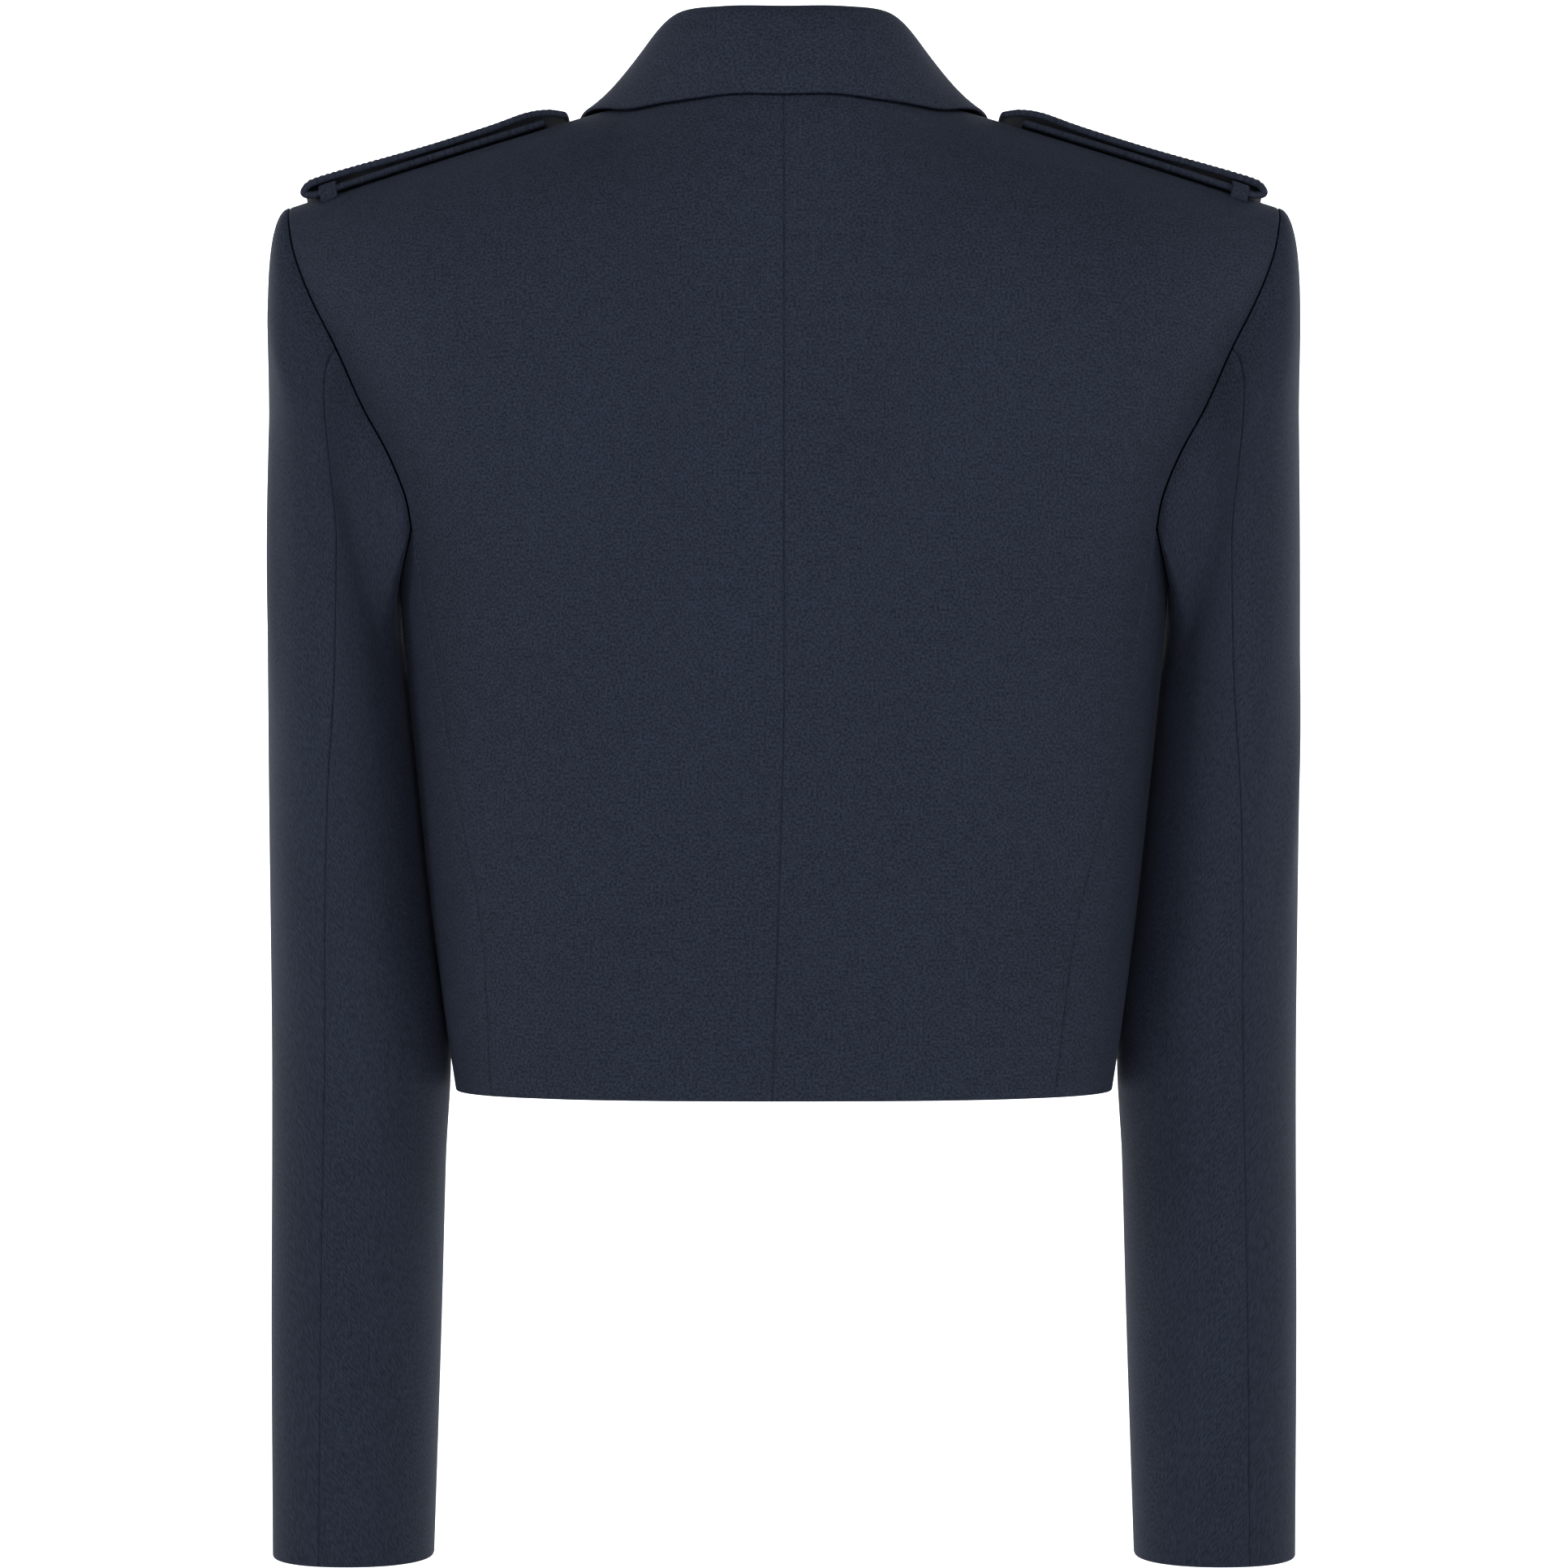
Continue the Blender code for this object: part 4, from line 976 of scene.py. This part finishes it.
def make_button(number):
    """A four-hole button with a raised rim and a dished face, sewn on with crossed thread."""
    low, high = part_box(f"front_button_{number}")
    middle = Vector(((low.x + high.x) / 2, 0, BUTTON_HEIGHTS[number - 1]))
    over = float(over_at(0.0, middle.z, -1))
    seat = Vector(torso(0.0, over) + torso_normal(0.0, over) * SEAM_GAP)
    out = Vector(torso_normal(0.0, over))
    radius = (high.x - low.x) / 2
    only_select()
    bpy.ops.mesh.primitive_cylinder_add(vertices=64, radius=radius, depth=BUTTON_THICKNESS)
    button = bpy.context.object
    button.name = f"front_button_{number}_turned"
    mesh = button.data
    bpy.ops.object.mode_set(mode="EDIT")
    bpy.ops.mesh.select_all(action="DESELECT")
    edit = bmesh.from_edit_mesh(mesh)
    edit.faces.ensure_lookup_table()
    for face in edit.faces:
        face.select_set(face.normal.z > 0.9)
    bmesh.update_edit_mesh(mesh)
    bpy.ops.mesh.inset(thickness=0.0016)
    bpy.ops.mesh.inset(thickness=0.0006)
    bpy.ops.transform.translate(value=(0, 0, -0.0007))
    bpy.ops.mesh.inset(thickness=0.0030)
    bpy.ops.transform.translate(value=(0, 0, -0.0002))
    bpy.ops.object.mode_set(mode="OBJECT")
    holes = []
    for across, along in ((1, 1), (1, -1), (-1, 1), (-1, -1)):
        bpy.ops.mesh.primitive_cylinder_add(vertices=20, radius=HOLE_RADIUS, depth=0.01)
        hole = bpy.context.object
        hole.data.transform(Matrix.Translation((across * HOLE_SPREAD, along * HOLE_SPREAD, 0)))
        holes.append(hole)
    for hole in holes:
        bpy.context.view_layer.objects.active = button
        cut = button.modifiers.new("hole", "BOOLEAN")
        cut.operation = "DIFFERENCE"
        cut.object = hole
        bpy.ops.object.modifier_apply(modifier=cut.name)
        bpy.data.objects.remove(hole)
    rounding = button.modifiers.new("edges", "BEVEL")
    rounding.width = 0.00035
    rounding.segments = 3
    rounding.limit_method = "ANGLE"
    only_select(button)
    bpy.ops.object.modifier_apply(modifier=rounding.name)
    bpy.ops.object.shade_smooth_by_angle(angle=math.radians(40))
    side = Vector((1, 0, 0))
    up = out.cross(side).normalized()
    turn = Matrix((side, up, out)).transposed().to_4x4()
    place = Matrix.Translation(seat + out * BUTTON_THICKNESS / 2) @ turn
    mesh.transform(place)
    mesh.materials.append(bpy.data.materials["navy button"])
    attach(button, "root")
    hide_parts(f"front_button_{number}")
    make_button_thread(number, place)


def make_button_thread(number, place):
    """Two crossed bars of thread through the button's four holes."""
    bars = []
    for degrees in (45, -45):
        only_select()
        bpy.ops.mesh.primitive_torus_add(
            major_segments=28, minor_segments=8, major_radius=0.00212, minor_radius=0.00042
        )
        bar = bpy.context.object
        squeeze = Matrix.Diagonal((1, 0.45, 1, 1))
        stand = Matrix.Rotation(math.radians(degrees), 4, "Z") @ Matrix.Rotation(math.radians(90), 4, "X")
        bar.data.transform(place @ Matrix.Translation((0, 0, 0.00005)) @ stand @ squeeze)
        bars.append(bar)
    only_select(*bars)
    bpy.ops.object.join()
    thread = bpy.context.object
    thread.name = f"front_button_{number}_thread"
    bpy.ops.object.shade_smooth()
    thread.data.materials.append(bpy.data.materials["navy thread"])
    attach(thread, "root")


class Nodes:
    """A new material's nodes, added and joined by name."""

    def __init__(self, name):
        self.material = bpy.data.materials.new(name)
        self.material.use_nodes = True
        self.tree = self.material.node_tree
        self.shader = self.tree.nodes["Principled BSDF"]

    def add(self, kind, **settings):
        node = self.tree.nodes.new(kind)
        for key, value in settings.items():
            setattr(node, key, value)
        return node

    def join(self, source, target):
        self.tree.links.new(source, target)

    def math(self, operation, first, second):
        node = self.add("ShaderNodeMath", operation=operation)
        for socket, value in zip(node.inputs, (first, second)):
            if isinstance(value, (int, float)):
                socket.default_value = value
            else:
                self.join(value, socket)
        return node.outputs[0]

    def noise(self, place, scale, detail=2.0):
        node = self.add("ShaderNodeTexNoise")
        node.inputs["Scale"].default_value = scale
        node.inputs["Detail"].default_value = detail
        self.join(place, node.inputs["Vector"])
        return node.outputs["Fac"]

    def ramp(self, value, low, high, dark, light):
        node = self.add("ShaderNodeValToRGB")
        for stop, position, colour in zip(node.color_ramp.elements, (low, high), (dark, light)):
            stop.position = position
            stop.color = (*colour, 1.0)
        self.join(value, node.inputs["Fac"])
        return node.outputs["Color"]


def shade(colour, share):
    return tuple(channel * share for channel in colour[:3])


def wool_material(colours):
    """Fine worsted twill: slanted weave, speckled yarn, soft mottling, matt with a faint sheen."""
    nodes = Nodes("navy wool")
    place = nodes.add("ShaderNodeUVMap", uv_map="cloth").outputs["UV"]
    split = nodes.add("ShaderNodeSeparateXYZ")
    nodes.join(place, split.inputs[0])
    across, along = split.outputs[0], split.outputs[1]
    slant = nodes.math("ADD", across, along)
    twill = nodes.math("SINE", nodes.math("MULTIPLY", slant, 2 * math.pi / TWILL_PITCH), 0.0)
    yarn = nodes.math("SINE", nodes.math("MULTIPLY", across, 2 * math.pi / YARN_PITCH), 0.0)
    speckle = nodes.noise(place, 850, 2.0)
    mottle = nodes.noise(place, 150, 3.0)
    cloud = nodes.noise(place, 9, 2.0)
    blend = nodes.math("MULTIPLY", speckle, 0.78)
    blend = nodes.math("ADD", blend, nodes.math("MULTIPLY", mottle, 0.14))
    blend = nodes.math("ADD", blend, nodes.math("MULTIPLY", cloud, 0.08))
    base = colours.wool
    dye = nodes.ramp(blend, 0.37, 0.63, shade(base, 0.55), shade(base, 1.50))
    nodes.join(dye, nodes.shader.inputs["Base Color"])
    rough = nodes.math("ADD", nodes.math("MULTIPLY", speckle, 0.14), 0.76)
    nodes.join(rough, nodes.shader.inputs["Roughness"])
    height = nodes.math("MULTIPLY", twill, 0.10)
    height = nodes.math("ADD", height, nodes.math("MULTIPLY", yarn, 0.06))
    height = nodes.math("ADD", height, nodes.math("MULTIPLY", speckle, 0.80))
    bump = nodes.add("ShaderNodeBump")
    bump.inputs["Strength"].default_value = 0.55
    bump.inputs["Distance"].default_value = 0.00015
    nodes.join(height, bump.inputs["Height"])
    nodes.join(bump.outputs["Normal"], nodes.shader.inputs["Normal"])
    nodes.shader.inputs["Specular IOR Level"].default_value = 0.15
    nodes.shader.inputs["Sheen Weight"].default_value = 0.03
    nodes.shader.inputs["Sheen Roughness"].default_value = 0.45
    nodes.shader.inputs["Sheen Tint"].default_value = (0.55, 0.68, 1.0, 1.0)


def thread_material(colours):
    """Twisted sewing thread, a little darker and smoother than the wool."""
    nodes = Nodes("navy thread")
    place = nodes.add("ShaderNodeTexCoord").outputs["Object"]
    fleck = nodes.noise(place, 3000, 1.0)
    colour = nodes.ramp(fleck, 0.3, 0.7, shade(colours.wool, 0.45), shade(colours.wool, 0.80))
    nodes.join(colour, nodes.shader.inputs["Base Color"])
    rough = nodes.math("ADD", nodes.math("MULTIPLY", fleck, 0.20), 0.50)
    nodes.join(rough, nodes.shader.inputs["Roughness"])


def button_material(colours):
    """Dark, satin moulded resin with faint streaks and fine wear."""
    nodes = Nodes("navy button")
    place = nodes.add("ShaderNodeTexCoord").outputs["Object"]
    streak = nodes.noise(place, 350, 5.0)
    colour = nodes.ramp(streak, 0.35, 0.75, shade(colours.button, 0.75), shade(colours.button, 1.5))
    nodes.join(colour, nodes.shader.inputs["Base Color"])
    fine = nodes.noise(place, 2500, 2.0)
    nodes.join(nodes.math("ADD", nodes.math("MULTIPLY", fine, 0.18), 0.30), nodes.shader.inputs["Roughness"])
    bump = nodes.add("ShaderNodeBump")
    bump.inputs["Strength"].default_value = 0.15
    bump.inputs["Distance"].default_value = 0.00005
    nodes.join(fine, bump.inputs["Height"])
    nodes.join(bump.outputs["Normal"], nodes.shader.inputs["Normal"])


def sized(name, text, default):
    return bpy.props.FloatProperty(name=name, description=text, default=default, unit="LENGTH")


def coloured(name, text, default):
    return bpy.props.FloatVectorProperty(
        name=name, description=text, default=default, subtype="COLOR", min=0, max=1
    )


class JacketColours(bpy.types.PropertyGroup):
    """The colours of the cloth, the buttons and the studio."""

    wool: coloured("Wool", "Colour of the worsted cloth", (0.0170, 0.0218, 0.0365))
    button: coloured("Buttons", "Colour of the moulded buttons", (0.0130, 0.0160, 0.0260))
    floor: coloured("Floor", "Colour of the studio floor", (0.93, 0.94, 0.95))


class StudioSizes(bpy.types.PropertyGroup):
    """Where the camera, the lights and the floor stand."""

    camera_distance: sized("Camera Distance", "From the camera to the middle of the jacket", 2.3)
    camera_height: sized("Camera Height", "Height of the level camera", -0.300)
    frame_width: sized("Frame Width", "Width of what the camera sees at the jacket", 0.705)
    floor_height: sized("Floor Height", "Height of the studio floor", -0.700)


class JACKET_OT_materials(bpy.types.Operator):
    """Make the wool, thread and button materials"""

    bl_idname = "jacket.materials"
    bl_label = "Materials"

    def execute(self, context):
        colours = context.scene.jacket_colours
        wool_material(colours)
        thread_material(colours)
        button_material(colours)
        return {"FINISHED"}


class JACKET_OT_body(bpy.types.Operator):
    """Make the backs, side panels and fronts"""

    bl_idname = "jacket.body"
    bl_label = "Body Panels"

    def execute(self, context):
        for label, hand in (("left", 1), ("right", -1)):
            make_back(hand, label)
            make_side(hand, label)
            make_front(hand, label)
        return {"FINISHED"}


class JACKET_OT_sleeves(bpy.types.Operator):
    """Make the two-piece sleeves"""

    bl_idname = "jacket.sleeves"
    bl_label = "Sleeves"

    def execute(self, context):
        for label, hand in (("left", 1), ("right", -1)):
            make_sleeve(hand, label)
        return {"FINISHED"}


class JACKET_OT_collar(bpy.types.Operator):
    """Make the collar and the lapels"""

    bl_idname = "jacket.collar"
    bl_label = "Collar and Lapels"

    def execute(self, context):
        make_collar_stand()
        make_collar_fall()
        for label, hand in (("left", 1), ("right", -1)):
            make_lapel(hand, label)
        return {"FINISHED"}


class JACKET_OT_straps(bpy.types.Operator):
    """Make the shoulder straps, their stitching and their keeper loops"""

    bl_idname = "jacket.straps"
    bl_label = "Shoulder Straps"

    def execute(self, context):
        for label, hand in (("left", 1), ("right", -1)):
            make_strap(hand, label)
            make_loop(hand, label)
        return {"FINISHED"}


class JACKET_OT_buttons(bpy.types.Operator):
    """Make the two front buttons and their thread"""

    bl_idname = "jacket.buttons"
    bl_label = "Front Buttons"

    def execute(self, context):
        for number in range(1, len(BUTTON_HEIGHTS) + 1):
            make_button(number)
        return {"FINISHED"}


class JACKET_OT_stage(bpy.types.Operator):
    """Make the pale studio, its soft lights and the camera"""

    bl_idname = "jacket.stage"
    bl_label = "Studio"

    def execute(self, context):
        sizes = context.scene.jacket_studio
        make_studio(sizes, context.scene.jacket_colours)
        make_lights()
        make_camera(sizes)
        return {"FINISHED"}


def make_studio(sizes, colours):
    """A wide round floor that curves up into a far wall. It glows beyond the jacket's front."""
    only_select()
    bpy.ops.mesh.primitive_circle_add(vertices=96, radius=FLOOR_RADIUS, fill_type="NGON", location=(0, 0, 0))
    floor = bpy.context.object
    floor.name = "studio_floor"
    bpy.ops.object.mode_set(mode="EDIT")
    bpy.ops.mesh.select_all(action="SELECT")
    bpy.ops.transform.translate(value=(0, 0, sizes.floor_height))
    bpy.ops.mesh.select_mode(type="EDGE")
    bpy.ops.mesh.select_all(action="DESELECT")
    edit = bmesh.from_edit_mesh(floor.data)
    for edge in edit.edges:
        edge.select_set(edge.is_boundary)
    bmesh.update_edit_mesh(floor.data)
    middle = (0, 0, sizes.floor_height)
    for step in range(1, 9):
        angle = math.radians(90 * step / 8)
        before = math.radians(90 * (step - 1) / 8)
        radius_before = FLOOR_RADIUS + FLOOR_CURVE * math.sin(before)
        grown = (FLOOR_RADIUS + FLOOR_CURVE * math.sin(angle)) / radius_before
        rise = FLOOR_CURVE * (math.cos(before) - math.cos(angle))
        bpy.ops.mesh.extrude_edges_move(TRANSFORM_OT_translate={"value": (0, 0, rise)})
        bpy.ops.transform.resize(value=(grown, grown, 1), center_override=middle)
    bpy.ops.mesh.extrude_edges_move(TRANSFORM_OT_translate={"value": (0, 0, WALL_RISE)})
    bpy.ops.object.mode_set(mode="OBJECT")
    bpy.ops.object.shade_smooth()
    nodes = Nodes("studio white")
    place = nodes.add("ShaderNodeTexCoord").outputs["Object"]
    fleck = nodes.noise(place, 40, 2.0)
    paint = nodes.ramp(fleck, 0.3, 0.7, shade(colours.floor, 0.995), shade(colours.floor, 1.0))
    nodes.join(paint, nodes.shader.inputs["Base Color"])
    nodes.shader.inputs["Roughness"].default_value = 0.9
    split = nodes.add("ShaderNodeSeparateXYZ")
    nodes.join(place, split.inputs[0])
    behind = nodes.math("MULTIPLY", split.outputs[1], -1.0)
    glow = nodes.ramp(behind, 0.0, 0.30, (0.06, 0.06, 0.06), colours.floor)
    nodes.join(glow, nodes.shader.inputs["Emission Color"])
    nodes.shader.inputs["Emission Strength"].default_value = 0.95
    floor.data.materials.append(nodes.material)
    world = bpy.data.worlds.new("studio air")
    world.use_nodes = True
    world.node_tree.nodes["Background"].inputs["Color"].default_value = (1.0, 1.0, 1.0, 1.0)
    world.node_tree.nodes["Background"].inputs["Strength"].default_value = 0.08
    bpy.context.scene.world = world


LIGHTS_AIM = (0, 0, -0.28)
# Soft boxes: place, size and power. The first stands behind the wearer, the next two rake the
# sleeves and the last two light the front.
SOFT_BOXES = (
    ((-0.4, 3.1, 0.9), 0.9, 35),
    ((2.4, 1.5, 0.6), 0.6, 15),
    ((-2.4, 1.5, 0.6), 0.6, 8),
    ((1.5, -2.8, 1.2), 1.4, 10),
    ((-1.5, -2.8, 1.2), 1.4, 10),
)


def make_lights():
    for number, (place, size, power) in enumerate(SOFT_BOXES, start=1):
        bpy.ops.object.light_add(type="AREA", location=place)
        light = bpy.context.object
        light.name = f"soft_box_{number}"
        light.data.size = size
        light.data.energy = power
        aim = Vector(LIGHTS_AIM) - Vector(place)
        light.rotation_euler = aim.to_track_quat("-Z", "Y").to_euler()


def make_camera(sizes):
    bpy.ops.object.camera_add(location=(0, sizes.camera_distance, sizes.camera_height))
    camera = bpy.context.object
    camera.name = "photo_camera"
    camera.rotation_euler = (math.radians(90), 0, math.radians(180))
    camera.data.sensor_width = 36
    camera.data.lens = 36 * sizes.camera_distance / sizes.frame_width
    bpy.context.scene.camera = camera
    bpy.context.scene.view_settings.view_transform = "Standard"


OPERATORS = (
    JACKET_OT_materials,
    JACKET_OT_body,
    JACKET_OT_sleeves,
    JACKET_OT_collar,
    JACKET_OT_straps,
    JACKET_OT_buttons,
    JACKET_OT_stage,
)


class JACKET_PT_panel(bpy.types.Panel):
    """The jacket's colours, studio sizes and steps"""

    bl_idname = "JACKET_PT_panel"
    bl_label = "Jacket"
    bl_space_type = "VIEW_3D"
    bl_region_type = "UI"
    bl_category = "Jacket"

    def draw(self, context):
        for group in (context.scene.jacket_colours, context.scene.jacket_studio):
            for name in group.bl_rna.properties.keys():
                if name not in ("name", "rna_type"):
                    self.layout.prop(group, name)
        for operator in OPERATORS:
            self.layout.operator(operator.bl_idname)


CLASSES = (JacketColours, StudioSizes, *OPERATORS, JACKET_PT_panel)


def register():
    for item in CLASSES:
        bpy.utils.register_class(item)
    bpy.types.Scene.jacket_colours = bpy.props.PointerProperty(type=JacketColours)
    bpy.types.Scene.jacket_studio = bpy.props.PointerProperty(type=StudioSizes)


def unregister():
    del bpy.types.Scene.jacket_studio
    del bpy.types.Scene.jacket_colours
    for item in reversed(CLASSES):
        bpy.utils.unregister_class(item)


def main():
    register()
    bpy.ops.jacket.materials()
    bpy.ops.jacket.body()
    bpy.ops.jacket.sleeves()
    bpy.ops.jacket.collar()
    bpy.ops.jacket.straps()
    bpy.ops.jacket.buttons()
    bpy.ops.jacket.stage()


if __name__ == "__main__":
    main()
